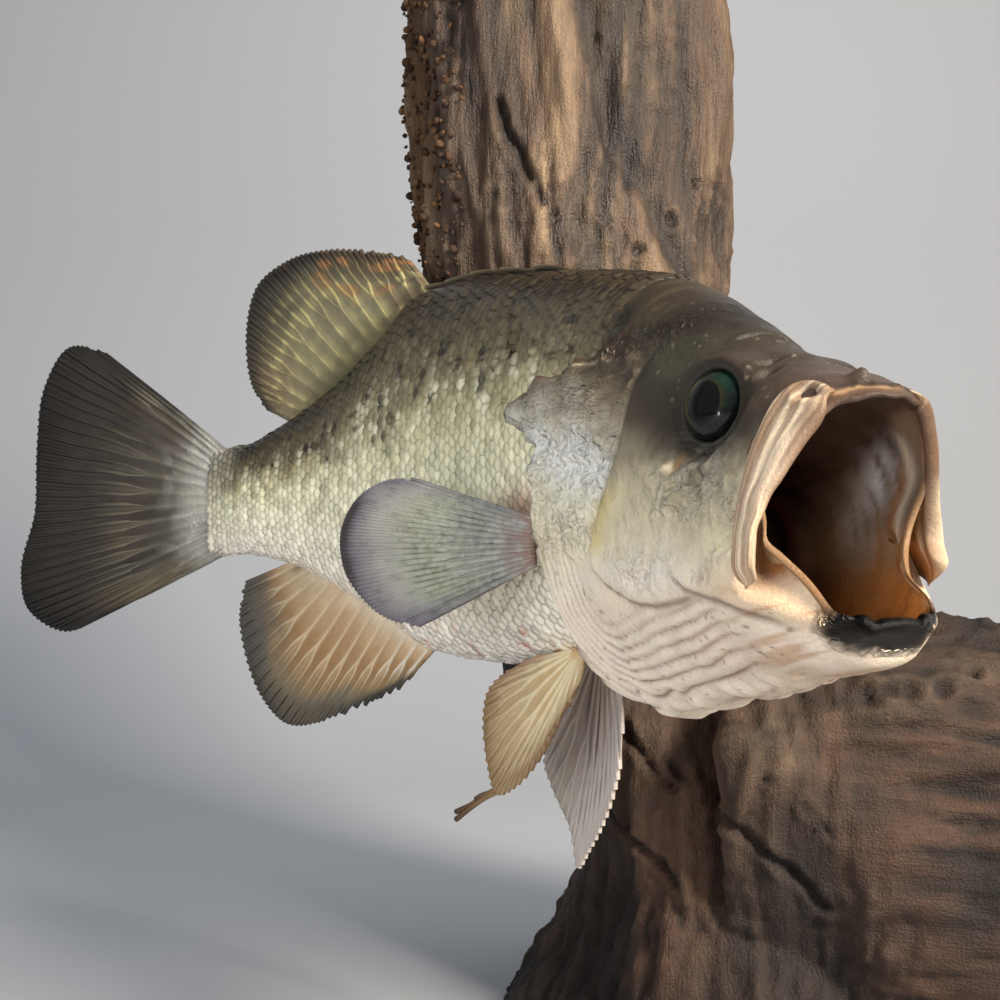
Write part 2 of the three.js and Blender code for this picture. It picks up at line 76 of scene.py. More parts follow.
def curve(*pairs):
    """A smooth function through (place, value) pairs, flat outside them."""
    at, value = np.array(pairs, float).T
    rise = np.diff(value) / np.diff(at)
    product = rise[:-1] * rise[1:]
    total = np.where(product > 0, rise[:-1] + rise[1:], 1)
    inner = np.where(product > 0, 2 * product / total, 0)
    slope = np.concatenate([rise[:1], inner, rise[-1:]])

    def read(place):
        place = np.clip(place, at[0], at[-1])
        i = np.clip(np.searchsorted(at, place, side="right") - 1, 0, len(at) - 2)
        step = at[i + 1] - at[i]
        t = (place - at[i]) / step
        start = (1 + 2 * t) * (1 - t) ** 2 * value[i] + t * (1 - t) ** 2 * step * slope[i]
        return start + t * t * (3 - 2 * t) * value[i + 1] + t * t * (t - 1) * step * slope[i + 1]

    return read


def soft(low, high, x):
    """0 below low, 1 above high, and smooth between; low may be the larger one."""
    t = np.clip((x - low) / (high - low), 0, 1)
    return t * t * (3 - 2 * t)


def bump(x, width):
    """1 at 0, falling away smoothly over about `width` to each side."""
    return np.exp(-((x / width) ** 2))


def scatter(i, j, k, seed):
    """A fixed pseudo-random number from -1 to 1 for each whole-number place."""
    mixed = (i * 374761393 + j * 668265263 + k * 1440662683 + seed * 974634777) & 0xFFFFFFFF
    mixed = ((mixed ^ (mixed >> 13)) * 1274126177) & 0xFFFFFFFF
    return ((mixed ^ (mixed >> 16)) & 0xFFFF) / 32767.5 - 1


def noise(points, size, seed=0, octaves=1):
    """A smooth random field from about -1 to 1, with lumps about `size` across."""
    total = 0
    strength = 1.0
    for octave in range(octaves):
        place = np.asarray(points, float) / size * 2**octave + 17.3 * octave
        cell = np.floor(place).astype(np.int64)
        t = place - cell
        t = t * t * (3 - 2 * t)
        value = 0
        for corner in range(8):
            step = np.array([corner & 1, corner >> 1 & 1, corner >> 2])
            weight = np.prod(np.where(step, t, 1 - t), axis=-1)
            value = value + weight * scatter(*np.moveaxis(cell + step, -1, 0), seed + octave)
        total = total + strength * value
        strength *= 0.5
    return total


def creases(points, size, seed=0, octaves=2):
    """Sharp little valleys between rounded lumps: 0 in a crease, up to about 1 between."""
    return np.abs(noise(points, size, seed, octaves))


print("a curve through 0, 1, 0 at a quarter:", float(curve((0, 0), (1, 1), (2, 0))(0.25)))

# %% [markdown]
# A fish is easiest to draw along its own body line. A place on it is a station s from the snout, a distance y
# out to its right and a height z. The body line is straight through the head and then bends towards the
# fish's right, so that the tail sweeps forward. All sizes match the solids of the frame.

# %% The bent body line
FLESH_LENGTH = 368
STRAIGHT_LENGTH = 100
NAPE_STATION = 104
THROAT_STATION = 96
NAPE_PLACE = np.array([-40.0, -95.0, 215.0])
SWIM_YAW, NOSE_UP, BODY_ROLL = np.radians([110.3, 3.2, 0.6])
LINE_STEP = 2.0

bend_rate = curve((100, 0), (112, 0.0042), (170, 0.0040), (230, 0.0021), (290, 0.0012),
                  (340, 0.0037), (385, 0.0066), (430, 0.0054), (480, 0.0040))
line_s = np.arange(0, 501, LINE_STEP)
turns = np.where(line_s < STRAIGHT_LENGTH, 0, bend_rate(line_s + LINE_STEP / 2) * LINE_STEP)
line_heading = np.concatenate([[0], np.cumsum(turns)[:-1]])
steps = line_heading[:-1] + turns[:-1] / 2
line_x = np.concatenate([[0], np.cumsum(np.cos(steps) * LINE_STEP)]) - STRAIGHT_LENGTH
line_y = np.concatenate([[0], np.cumsum(np.sin(steps) * LINE_STEP)])


def turn_about(axis, angle):
    """The 3x3 matrix of a turn about x (0), y (1) or z (2)."""
    matrix = np.eye(3)
    a, b = (axis + 1) % 3, (axis + 2) % 3
    matrix[a, a] = matrix[b, b] = math.cos(angle)
    matrix[b, a] = math.sin(angle)
    matrix[a, b] = -math.sin(angle)
    return matrix


FISH_TURN = turn_about(2, SWIM_YAW) @ turn_about(1, NOSE_UP) @ turn_about(0, BODY_ROLL)


def in_frame(line_places):
    """Places (s, y, z) along the body line, in millimetres, as places in the frame in millimetres."""
    s, y, z = np.moveaxis(np.asarray(line_places, float), -1, 0)
    clamped = np.clip(s, 0, 498)
    heading = np.interp(clamped, line_s, line_heading)
    x = np.interp(clamped, line_s, line_x) + (s - clamped) * np.cos(heading) - y * np.sin(heading)
    out = np.interp(clamped, line_s, line_y) + (s - clamped) * np.sin(heading) + y * np.cos(heading)
    return np.stack([x, out, z], -1) @ FISH_TURN.T + NAPE_PLACE


print("the body bends by", round(math.degrees(line_heading[-1])), "degrees")

# %% Body outlines by station
trunk_top = curve((90, 51), (104, 56.4), (135, 64.5), (160, 69.5), (190, 74), (215, 77), (238, 76),
                  (260, 64), (290, 46), (325, 31), (350, 23), (368, 22))
trunk_bottom = curve((90, -50), (115, -57), (140, -61.5), (165, -65), (200, -68), (232, -66),
                     (260, -55), (290, -42), (325, -30), (350, -26), (368, -26.5))
trunk_width = curve((90, 28), (115, 33), (150, 35.5), (185, 34.5), (220, 31), (260, 24), (300, 16.5),
                    (340, 10.5), (368, 6.5))
trunk_middle = curve((90, 4), (150, 6), (220, 4), (300, 0), (368, -2))

head_top = curve((-3, 5), (0, 7.5), (6, 10), (20, 14), (35, 20), (50, 28), (70, 39.5), (87, 48.5),
                 (104, 56.4), (140, 68))
head_bottom = curve((-3, -52.5), (0, -55), (6, -57), (14, -59), (26, -61), (45, -65), (75, -71),
                    (100, -75.5), (118, -75.5), (140, -70))
head_width = curve((-3, 8), (0, 12), (6, 18), (14, 23), (26, 28.5), (45, 29.5), (75, 32.5), (105, 36),
                   (125, 38), (140, 38.5))
head_middle = curve((-3, -22), (20, -28), (45, -24), (75, -10), (104, 2), (140, 6))
head_square = curve((-3, 3.2), (20, 2.5), (42, 2.05), (80, 2.1), (140, 2.15))

mouth_top = curve((-3, 2), (6, 4.5), (14, 5), (26, 3), (45, -5), (70, -15), (96, -24))
mouth_bottom = curve((-3, -48.5), (6, -51.5), (26, -55), (50, -57), (72, -55), (96, -47))
mouth_width = curve((-3, 5), (0, 8.5), (6, 13), (14, 18), (26, 23.5), (45, 22.5), (70, 18), (96, 9))
mouth_middle = curve((-3, -22), (26, -22), (60, -30), (96, -36))

SCALE_DEPTH = 0.7
TAIL_TAPER = curve((340, 1), (368, 0.45))


def section(s, angle, top, bottom, width, middle, square):
    """Points (s, y, z) of a cross section: 0 degrees is the right side, 90 the back, -90 the belly."""
    c, q = np.cos(np.radians(angle)), np.sin(np.radians(angle))
    reach = np.where(q > 0, top - middle, middle - bottom)
    y = width * np.sign(c) * np.abs(c) ** (2 / square)
    z = middle + reach * np.sign(q) * np.abs(q) ** (2 / square)
    return np.stack([s + 0 * y, y, z], -1)


def trunk_section(s, angle, inset=SCALE_DEPTH):
    width = (trunk_width(s) - inset) * TAIL_TAPER(s)
    return section(s, angle, trunk_top(s) - inset, trunk_bottom(s) + inset, width, trunk_middle(s), 2.1)


def head_section(s, angle):
    return section(s, angle, head_top(s), head_bottom(s), head_width(s), head_middle(s), head_square(s))


def mouth_section(s, angle):
    return section(s, angle, mouth_top(s), mouth_bottom(s), mouth_width(s), mouth_middle(s), 2.6)


print("body depth:", round(float(trunk_top(215) - trunk_bottom(215))), "mm")
# %% [markdown]
# Colours are written as sRGB hex values, as on a paint chart, and turned to the linear values that a renderer
# works in. Markings are layers: each layer pulls the colour below it towards its own by a weight.

# %% Colours
def to_linear(hex_colour):
    """An sRGB hex colour such as "d8c0a4" as three linear values."""
    srgb = np.array([int(hex_colour[i:i + 2], 16) for i in (0, 2, 4)]) / 255
    return np.where(srgb <= 0.04045, srgb / 12.92, ((srgb + 0.055) / 1.055) ** 2.4)


def rgba(hex_colour):
    return (*to_linear(hex_colour), 1)


def layer(paint, hex_colour, weight):
    return paint + (to_linear(hex_colour) - paint) * np.clip(weight, 0, 1)[..., None]


def graded(place, *stops):
    """Colours along a scale: stops are (place, hex) pairs."""
    at = [stop[0] for stop in stops]
    linear = np.array([to_linear(stop[1]) for stop in stops])
    return np.stack([np.interp(place, at, linear[:, c]) for c in range(3)], -1)


def near(line, s, z):
    """Distance of side-view places (s, z) from a drawn line, plus on its left and minus on its right as it is
    followed, and how far along the line, from 0 to 1."""
    line = np.array(line, float)
    leg = np.diff(line, axis=0)
    length = np.linalg.norm(leg, axis=1)
    start = np.concatenate([[0], np.cumsum(length)[:-1]])
    best = np.full(np.shape(s), np.inf)
    signed = np.zeros(np.shape(s))
    along = np.zeros(np.shape(s))
    for (s0, z0), (ds, dz), size, before in zip(line, leg, length, start):
        t = np.clip(((s - s0) * ds + (z - z0) * dz) / size**2, 0, 1)
        gap = np.hypot(s - s0 - t * ds, z - z0 - t * dz)
        side = np.sign(ds * (z - z0) - dz * (s - s0))
        closer = gap < best
        best = np.where(closer, gap, best)
        signed = np.where(closer, gap * np.where(side == 0, 1, side), signed)
        along = np.where(closer, before + t * size, along)
    return signed, along / length.sum()


print("cream in linear light:", to_linear("d8c0a4").round(3))

# %% [markdown]
# The skin is one net of rings, like a stocking pulled over the whole fish. It starts deep in the mouth, runs
# forward to the lips, turns over them, comes back along the outside of the head to the free edge of the gill
# covers, tucks in under that edge, and runs on down the trunk to the tail. One net has no seams, and every
# place on it has a station and an angle, which is all that the relief and the markings need.

# %% Where the rings run
ROUND_COUNT = 350
MOUTH_RINGS, RIM_RINGS, HEAD_RINGS, TRUNK_RINGS = 46, 5, 160, 60
RIM_INSET = 1.0
RIM_THIN = 0.3
COVER_THICKNESS = 1.8
TUCK = 6.5

rim_setback = curve((-90, -2), (-50, 0), (-40, 1.6), (-31, 4.0), (-20, 7.6), (-11, 11.4), (-5, 15), (0, 18.5),
                    (6, 17), (14, 13), (30, 8), (60, 1.5), (90, -2))
gill_edge = curve((-90, 116), (-75, 119), (-60, 121), (-45, 124), (-30, 126.5), (-17, 126.5), (-8, 124.5),
                  (-2, 124), (3, 129), (7.5, 142), (10, 138), (13, 130), (18, 119), (23, 108), (29, 97),
                  (35, 91), (42, 88), (50, 86), (60, 86), (90, 86))

angle = np.arange(ROUND_COUNT) * 360 / ROUND_COUNT
angle = angle - 15 * np.cos(np.radians(angle))
fold = np.degrees(np.arcsin(np.sin(np.radians(angle))))
rim = rim_setback(fold) + RIM_INSET
gill = gill_edge(fold)
free_edge = soft(56, 40, fold)


def mix(a, b, t):
    return a + (b - a) * t


def rows(count, from_row, to_row, power=1.0, skip_first=False):
    t = np.linspace(0, 1, count)[1 if skip_first else 0:, None] ** power
    return mix(from_row[None, :], to_row[None, :], t)


def head_outside(s):
    """The outside of the head, which passes into the trunk's own outline over the nape."""
    into_trunk = soft(88, 106, s) * soft(38, 58, np.broadcast_to(fold, s.shape))
    return mix(head_section(s, angle), trunk_section(s, angle), into_trunk[..., None])


def lining_section(s, angle, rim):
    """The inside of the mouth: close under the outside at the rim, and at its full depth further in."""
    share = mix(RIM_THIN, 1, soft(0, 13, s - rim))[..., None]
    return mix(head_section(s, angle), mouth_section(s, angle), share)


mouth_s = rows(MOUTH_RINGS, np.full(ROUND_COUNT, THROAT_STATION), rim)
mouth_net = lining_section(mouth_s, angle, rim)
round_over = np.linspace(0, 1, RIM_RINGS + 2)[1:-1, None, None]
lip_in, lip_out = mouth_net[-1], head_outside(rim[None, :])[0]
rim_net = mix(lip_in, lip_out, (1 - np.cos(np.pi * round_over)) / 2)
rim_net[..., 0] -= 0.8 * np.sin(np.pi * round_over[..., 0])
head_s = rows(HEAD_RINGS, rim, gill)
head_net = head_outside(head_s)

tuck_rings = []
NAPE_BLEND = 14
edge_gap = np.linalg.norm(head_section(gill, angle) - trunk_section(gill, angle), axis=-1)
thin = np.clip(COVER_THICKNESS / np.maximum(edge_gap, 0.5), 0, 1)
for forward, depth in ((-0.4, 0.5), (0, 1), (2.5, 1.05), (5, 1.2), (6.3, None), (TUCK, 2.0)):
    step = (len(tuck_rings) + 1) / 6
    s = gill - forward * free_edge + (1 - free_edge) * step * NAPE_BLEND
    share = 0.55 if depth is None else 1.0 if depth == 2.0 else thin * depth
    share = mix(step, np.clip(share, 0, 1), free_edge)
    tuck_rings.append(mix(head_outside(s[None, :])[0], trunk_section(s, angle), share[:, None]))
tuck_net = np.array(tuck_rings)
trunk_start = gill - TUCK * free_edge + (1 - free_edge) * (NAPE_BLEND + 2)
trunk_s = rows(TRUNK_RINGS, trunk_start, np.full(ROUND_COUNT, FLESH_LENGTH), skip_first=True)
trunk_net = trunk_section(trunk_s, angle)

net = np.concatenate([mouth_net, rim_net, head_net, tuck_net, trunk_net])
ends = np.cumsum([len(part) for part in (mouth_net, rim_net, head_net, tuck_net, trunk_net)])
MOUTH, RIM, HEAD, TUCKED, TRUNK = [slice(int(b - n), int(b)) for b, n in zip(
    ends, [len(part) for part in (mouth_net, rim_net, head_net, tuck_net, trunk_net)])]
print("rings:", net.shape[0], "faces:", (net.shape[0] - 1) * ROUND_COUNT)

# %% [markdown]
# Relief: a dried head is all bone edges, hollows and wrinkles. Each is a formula that raises or sinks the net
# along its own normal. Lines are drawn in the side view, where a fish's anatomy is easiest to read.

# %% Lines of the head, as (station, height)
CHEEK_EDGE = [(68, 28), (71, 20), (72.5, 13), (73, 8), (73.5, 3), (75, -2), (79, -9), (85, -17.5), (90, -24)]
LOBE_EDGE = [(90, -24), (93, -28), (92.5, -33), (87, -38), (77, -42), (64, -43.5), (52, -42), (44, -40.5), (34, -44)]
JAW_FOLD = [(60, -28), (54, -34), (46.5, -39), (38, -41.5), (28, -43.5), (17, -46), (8, -50)]
FREE_EDGE = [(129, -15), (129, -28), (128, -42), (124, -54), (118, -63), (108, -71), (95, -75), (78, -72),
             (60, -68), (42, -64), (26, -61), (12, -58)]
JAW_CREASE = [(22, -4), (24, -11), (27, -20), (29, -27), (37, -34)]
COVER_CREST = [(70, 32), (80, 29.5), (92, 27)]
SKIN_CRACKS = [[(158, 46), (157, 40), (152, 33), (154, 28)], [(151, 47), (148, 41), (149, 37), (156, 38)],
               [(154, 25), (150, 21), (147, 16)], [(160, 22), (158, 18), (154, 16)], [(163, 56), (159, 48)],
               [(172, 42), (174, 37), (171, 31)]]

s, y, z = np.moveaxis(net, -1, 0)
side = np.where(y >= 0, 1.0, -1.0)
fold_net = np.broadcast_to(fold, s.shape)
place = np.stack([s, y, z], -1)
on_head = np.zeros(s.shape)
on_head[HEAD] = 1
on_mouth = np.zeros(s.shape)
on_mouth[MOUTH] = 1
on_rim = np.zeros(s.shape)
on_rim[RIM] = 1
from_rim = np.abs(s - rim)

cheek_gap, cheek_along = near(CHEEK_EDGE, s, z)
lobe_gap, lobe_along = near(LOBE_EDGE, s, z)
jaw_gap, jaw_along = near(JAW_FOLD, s, z)
edge_gap, edge_along = near(FREE_EDGE, s, z)
crease_gap, crease_along = near(JAW_CREASE, s, z)

# %% Relief of the gill cover, cheek and throat
def foil(points, size, seed):
    """Crumpled foil: flat facets between sharp folds that run in several directions; from 0 to about 1."""
    points = points + 0.6 * size * noise(points, 2.5 * size, seed)[..., None]
    total = 0
    for k, turn in enumerate((0.3, 1.35, 2.5)):
        place = points @ np.array([math.cos(turn), 0.3 * (-1) ** k, math.sin(turn)]) / (size * (0.8 + 0.3 * k))
        strength = 0.6 * soft(-0.4, 0.1, noise(points, 1.7 * size, seed + k))
        total = total + np.abs((place + 0.37 * k) % 2 - 1) * strength
    return total


is_cover = on_head * soft(0.5, 3, cheek_gap) * soft(-34, -24, z) * soft(44, 34, fold_net) * soft(60, 70, s)
below_lobe = soft(-1.0, 1.5, lobe_gap) * soft(-20, -30, z)
pleat_place = np.abs(edge_gap) + 1.3 * noise(place, 18, 3) + 0.35 * noise(place, 6, 4)
pleats = np.abs(np.sin(np.pi * pleat_place / 3.5))
is_throat = on_head * below_lobe * soft(30, 17, np.abs(edge_gap)) * soft(22, 46, s)

relief = np.zeros(s.shape)
relief += on_head * (0.9 * np.exp(np.minimum(cheek_gap, 0) / 9) * soft(0.4, -0.4, cheek_gap)
                     - 0.35 * bump(cheek_gap - 1, 1.2)) * soft(0, 0.25, cheek_along) * soft(1, 0.92, cheek_along)
relief += on_head * 1.3 * np.exp(np.minimum(lobe_gap, 0) / 8) * soft(0.5, -0.5, lobe_gap) * (
    soft(14, 9, np.abs(lobe_gap)) * soft(0, 0.1, lobe_along) * soft(1, 0.8, lobe_along))
relief += is_throat * (1.5 * pleats**0.8 - 1.0)
relief += is_cover * (3.0 * foil(place, 6, 11) + 1.9 * foil(place, 2.6, 16) - 2.2)
relief += is_cover * 0.7 * bump(noise(place * [0.5, 1, 1.4], 6, 12), 0.12)
relief -= on_head * 0.8 * bump(jaw_gap, 1.1) * soft(0, 0.2, jaw_along) * soft(1, 0.8, jaw_along)
relief += on_head * 0.9 * bump(jaw_gap + 3, 2.2) * soft(0, 0.2, jaw_along)
hollow = bump((s - 43) / 17, 1) * bump((z + 14) / 9, 1)
relief += on_head * hollow * (3.6 * foil(place * [1, 1, 1.4], 4.5, 21) + 2.0 * foil(place, 2.2, 22) - 2.6)
corner = on_head * bump((s - 66) / 17, 1) * bump((z + 34) / 6.5, 1)
relief += corner * (2.4 * foil(place * [0.7, 1, 1.5], 4, 24) + 0.8 * foil(place, 2, 25) - 0.6)
ragged = soft(-62, -80, fold_net) * soft(18, 36, s) * soft(116, 100, s) * on_head
relief += ragged * (2.2 * noise(place * [1, 0.3, 0.3], 7, 9, 2) + 0.8)
pocket = on_head * np.exp(-(((s - 17.5) / 4.6) ** 2 + ((z + 30) / 7.0) ** 2))
relief -= 2.6 * pocket
relief += on_head * 0.45 * noise(place, 9, 5, 3) + on_head * 0.5 * bump(near(COVER_CREST, s, z)[0], 3.5) * (
    0.3 + creases(place, 3.5, 6))

# %% Relief of the trunk: shrunken skin with cracks, and a shallow furrow along the flank
on_trunk = np.zeros(s.shape)
on_trunk[TRUNK] = 1
relief += on_trunk * 0.45 * noise(place * [1, 1, 0.6], 22, 7, 2)
crack = np.zeros(s.shape)
for line in SKIN_CRACKS:
    width = 0.9 + 0.5 * noise(place, 3, 31)
    crack = np.maximum(crack, bump(near(line, s, z)[0], width))
crack *= on_trunk * (side > 0)
relief -= 0.6 * crack

# %% [markdown]
# Inside the mouth the lining hangs in folds over the gill arches, which show as ribs far back, and the tongue
# is a long low swelling on the floor. The lips are drawn with a little extra flesh at the tip of the jaw.

# %% Relief of the mouth and lips
jaw_tip = soft(-44, -58, fold_net) * soft(20, 4, s)
arches = on_mouth * soft(52, 70, s)
relief += arches * 0.7 * np.sin(s / 1.7) * soft(-80, -50, fold_net)
tongue = on_mouth * soft(-48, -76, fold_net) * bump((s - 44) / 22, 1)
relief += tongue * 6
relief += on_mouth * 0.8 * creases(place * [0.35, 1, 1], 6, 41, 2) * soft(2, 12, from_rim)
relief += on_mouth * 0.5 * noise(place * [1, 0.4, 0.3], 3.5, 42, 2) * soft(4, 14, from_rim)
relief += (on_rim + on_head * soft(6, 1, from_rim) + on_mouth * soft(5, 1, from_rim)) * jaw_tip * 1.0
relief += on_head * soft(50, 62, fold_net) * bump(from_rim - 4.5, 1.8) * (0.2 + 0.7 * noise(place, 3, 43, 2))
relief += on_head * (z > 0) * 2.8 * bump(np.hypot(s - 7.5, y - 2.5), 2.3)

# %% [markdown]
# The eye socket is shaped about the eye itself: the skin dips under the glass, rises to a thin lid ring that
# laps the edge of the ball, and then sinks back into the cheek with one or two creases.

# %% Eye sockets and nostrils
EYE_RADIUS, EYE_BULGE = 9.8, 6.5
EYE_FORWARD, EYE_UP = math.radians(16), math.radians(8)
eye_axes = {}
for sign in (1, -1):
    turn = turn_about(2, sign * EYE_FORWARD) @ turn_about(0, sign * EYE_UP)
    eye_axes[sign] = (np.array([43.6, sign * 19.3, 6.8]), turn)

at_rim = on_head + on_rim + on_mouth * soft(14, 4, from_rim)
chin = soft(-30, -56, fold_net) * soft(12, 1, s) * at_rim
net[..., 2] += (4.2 + 2.2 * soft(-60, -84, fold_net)) * chin * soft(10, 1, from_rim)
upper_lip_place = soft(46, 66, fold_net) * soft(15, 3, s) * at_rim
net[..., 2] -= 1.8 * upper_lip_place
tuck_end = np.where(side > 0, soft(9, 1, fold_net), soft(20, -8, fold_net))
tucked_in = soft(-38, -12, fold_net) * tuck_end * soft(15, 2, from_rim) * (on_head + on_rim + on_mouth)
net[..., 1] -= side * tucked_in * np.where(side > 0, 3.6, 3.6 + 4.4 * soft(-30, -10, fold_net))
along_i = np.gradient(net, axis=0)
along_j = (np.roll(net, -1, axis=1) - np.roll(net, 1, axis=1)) / 2
normal = np.cross(along_j, along_i)
normal /= np.maximum(np.linalg.norm(normal, axis=-1, keepdims=True), 1e-6)
if normal[TRUNK][:, 0, 1].mean() < 0:
    normal = -normal

lid_height = curve((0, -1.2), (8.5, -1.2), (9.1, 1.2), (9.8, 2.3), (10.8, 2.5), (14, 2.8), (30, 3.4))
eye_distance = np.full(s.shape, 99.0)
net = net + normal * relief[..., None]
for sign, (centre, turn) in eye_axes.items():
    local = (net - centre) @ turn
    across = np.hypot(local[..., 0], local[..., 2])
    close = on_head * (side == sign) * soft(17, 11.5, across)
    below = soft(0.3, -0.7, local[..., 2] / np.maximum(across, 1) - 0.5 * local[..., 0] / np.maximum(across, 1))
    ring = 0.55 * (bump(across - 11.0, 0.45) + bump(across - 12.6, 0.5)) * below
    local[..., 1] = mix(local[..., 1], sign * (lid_height(across) - ring + 0.15 * noise(net, 2, 51)), close)
    net = local @ turn.T + centre
    eye_distance = np.where((side == sign) & (on_head > 0), across, eye_distance)
for nostril_s, nostril_z, size in ((29, 13.5, 1.3), (33.5, 17, 1.0), (50, 27, 0.8)):
    gap = np.hypot(s - nostril_s, z - nostril_z)
    pit = on_head * (0.35 * bump(gap - 1.9 * size, 0.7) - 1.5 * bump(gap, size))
    net = net + normal * pit[..., None]
print("relief from", relief.min().round(2), "to", relief.max().round(2), "mm")
# %% [markdown]
# The markings of a largemouth bass: a dark olive back, paler olive flanks with short dark flecks that gather
# along the middle of the side, and a cream belly. Over a mount's head the painter's olive gives way to silver
# on the gill cover and to the tan of dried skin on the jaws. The same functions paint skin and scales.

# %% Markings of the trunk
FLECKS = [(250, 49), (259, 48), (234, 40), (222, 50), (206, 45), (178, 40), (193, 38), (233, 57), (280, 23),
          (290, 16), (268, 26), (258, 33), (173, 29), (208, 27), (237, 23), (300, 15), (310, 13), (246, 30),
          (219, 31), (186, 52), (201, 58), (216, 38)]


def trunk_paint(s, y, z):
    """Linear colours for places on the trunk."""
    place = np.stack([s, y * 0.5, z], -1)
    high = np.where(z > trunk_middle(s), (z - trunk_middle(s)) / (trunk_top(s) - trunk_middle(s)),
                    (z - trunk_middle(s)) / (trunk_middle(s) - trunk_bottom(s)))
    high = high + 0.05 * noise(place, 20, 61, 2) + 0.10 * soft(250, 330, s)
    paint = graded(high, (-1, "e2dacb"), (-0.55, "e1d9c0"), (-0.2, "e2dcb9"), (0.1, "dad3aa"), (0.3, "a59b74"),
                   (0.5, "6a6046"), (0.68, "4e4533"), (0.86, "2d261c"), (1, "231d16"))
    paint = layer(paint, "2c251c", 0.9 * soft(114, 96, s) * soft(0.3, 0.65, high))
    # Painted highlight and painted shade: wavy upright streaks over the flank, light where the scale edges would catch
    # the light and dark between them.
    glint_and_shade_streaks = noise(np.stack([s / 1.5 + 0.5 * np.sin(z / 4), y * 0, z / 7.5], -1), 1, 66, 2)
    paint = layer(paint, "f6f0cf", 0.6 * soft(0.1, 0.8, glint_and_shade_streaks) * soft(0.7, 0.2, high) * soft(-0.9, -0.3, high))
    paint = layer(paint, "4a432e", 0.42 * soft(-0.1, -0.8, glint_and_shade_streaks) * soft(-0.35, 0.2, high))
    paint = layer(paint, "a3a678", 0.22 * soft(-0.5, 0, noise(place, 26, 62)) * soft(0.5, 0.1, high) *
                  soft(-0.4, 0.0, high))
    for fleck_s, fleck_z in FLECKS:
        away = np.hypot((s - fleck_s + 0.8 * noise(place, 3, 67)) / 1.5, (z - fleck_z) / 4.2)
        paint = layer(paint, "1b1811", 0.85 * soft(1.3, 0.6, away + 0.3 * noise(place, 2, 68)))
    fleck = noise(np.stack([s / 2.2, y * 0, z / 5.5], -1), 1, 63)
    crowd = soft(0.25, 0.5, high) * soft(0.95, 0.75, high) + 0.8 * bump(high - 0.18, 0.12) * soft(180, 250, s)
    paint = layer(paint, "1d1912", 0.75 * soft(0.58, 0.74, fleck + 0.12 * (crowd - 1)) * soft(0.1, 0.5, crowd))
    blotch = noise(place, 12, 64, 2)
    paint = layer(paint, "4c4632", 0.5 * soft(0.1, 0.7, blotch) * bump(high - 0.3, 0.2) * soft(160, 215, s))
    paint = layer(paint, "8a5236", 0.75 * bump((s - 144) / 15, 1) * bump((z + 14) / 7, 1))
    paint = layer(paint, "b8664a", 0.7 * soft(0.45, 0.75, noise(place, 5, 65)) * soft(-0.72, -0.9, high))
    paint = layer(paint, "a5a08c", 0.5 * soft(345, 368, s))
    return paint


# %% Markings of the head
DARK_LIMIT = curve((0, 2), (10, -1), (18, -5), (30, -10), (45, -9), (56, -5), (67, 7), (76, 22), (86, 38),
                   (100, 50))


def head_paint(s, y, z):
    """Linear colours for places on the outside of the head."""
    place = np.stack([s, y, z], -1)
    paint = graded(z + 5 * noise(place, 18, 71, 2), (-62, "dfcdb8"), (-45, "e4d2b8"), (-36, "e6d9c2"),
                   (-27, "d6caa8"), (-16, "b9ae8c"), (-6, "8b8068"), (6, "594d3f"), (26, "362d26"))
    fine = noise(place * [1, 0.5, 0.3], 1.3, 82, 2)
    paint = layer(paint, "e6d9a8", 0.30 * soft(0.1, 0.8, fine) * soft(0, -14, z))
    paint = layer(paint, "3f3826", 0.30 * soft(-0.1, -0.8, fine) * soft(-34, -16, z))
    cover = soft(-1, 2.5, cheek_gap) * soft(60, 72, s) * soft(-36, -26, z)
    shade = z + 4 * noise(place, 9, 72, 2)
    shade = shade - 7 * soft(106, 122, s) + 9 * soft(98, 74, s)
    cover_paint = graded(shade, (-32, "e6dcba"), (-14, "ebe4c8"), (-6, "f2efe2"), (2, "ebe7d9"), (9, "c6bda6"),
                         (15, "aca08b"), (22, "84775f"), (30, "54493b"))
    paint = mix(paint, cover_paint, cover[..., None])
    dark = soft(-10, 9, z - DARK_LIMIT(s) + 4 * noise(place, 12, 73, 3))
    paint = layer(paint, "332a21", 0.95 * dark * (1 - 0.6 * cover))
    paint = layer(paint, "3b3b2e", 0.6 * dark * bump((s - 62) / 13, 1) * bump((z - 22) / 12, 1))
    paint = layer(paint, "271f18", 0.75 * soft(26, 40, z + 0.2 * s - 12))
    paint = layer(paint, "4a3a30", 0.7 * soft(30, 12, s) * soft(-2, 6, z))
    scratches = soft(0.72, 0.86, noise(place * [0.9, 1, 0.35], 1.1, 87)) * soft(0, 12, z)
    paint = layer(paint, "a89a86", 0.3 * scratches)
    return paint * mix(1, 0.45, soft(18, 36, z))[..., None]


print("mid-flank colour:", trunk_paint(np.array([200.0]), np.array([34.0]), np.array([10.0])).round(3))

# %% Paint the skin
BLACK_SHINE = 2.4
s, y, z = np.moveaxis(net, -1, 0)
place = np.stack([s, y, z], -1)
paint = trunk_paint(s, y, z)
outside = head_paint(s, y, z)
paint = mix(paint, outside, (on_head * mix(soft(0, 18, gill - s), 1, free_edge))[..., None])
silver = np.zeros(s.shape)
silver += is_cover * soft(27, 15, z) * (0.6 + 0.4 * noise(place, 5, 74, 2)) * (1 - 0.5 * soft(98, 74, s) * soft(0, 8, z))
silver += on_head * hollow * 0.9 * soft(-0.6, 0.2, noise(place, 4, 75, 2))
silver += on_head * bump(near(COVER_CREST, s, z)[0], 4) * 0.7
silver += corner * 0.35
far_inside = on_mouth * (side < 0)
silver += on_head * bump(crease_gap + 2.5, 2) * 0.5 * soft(0.1, 0.4, crease_along)

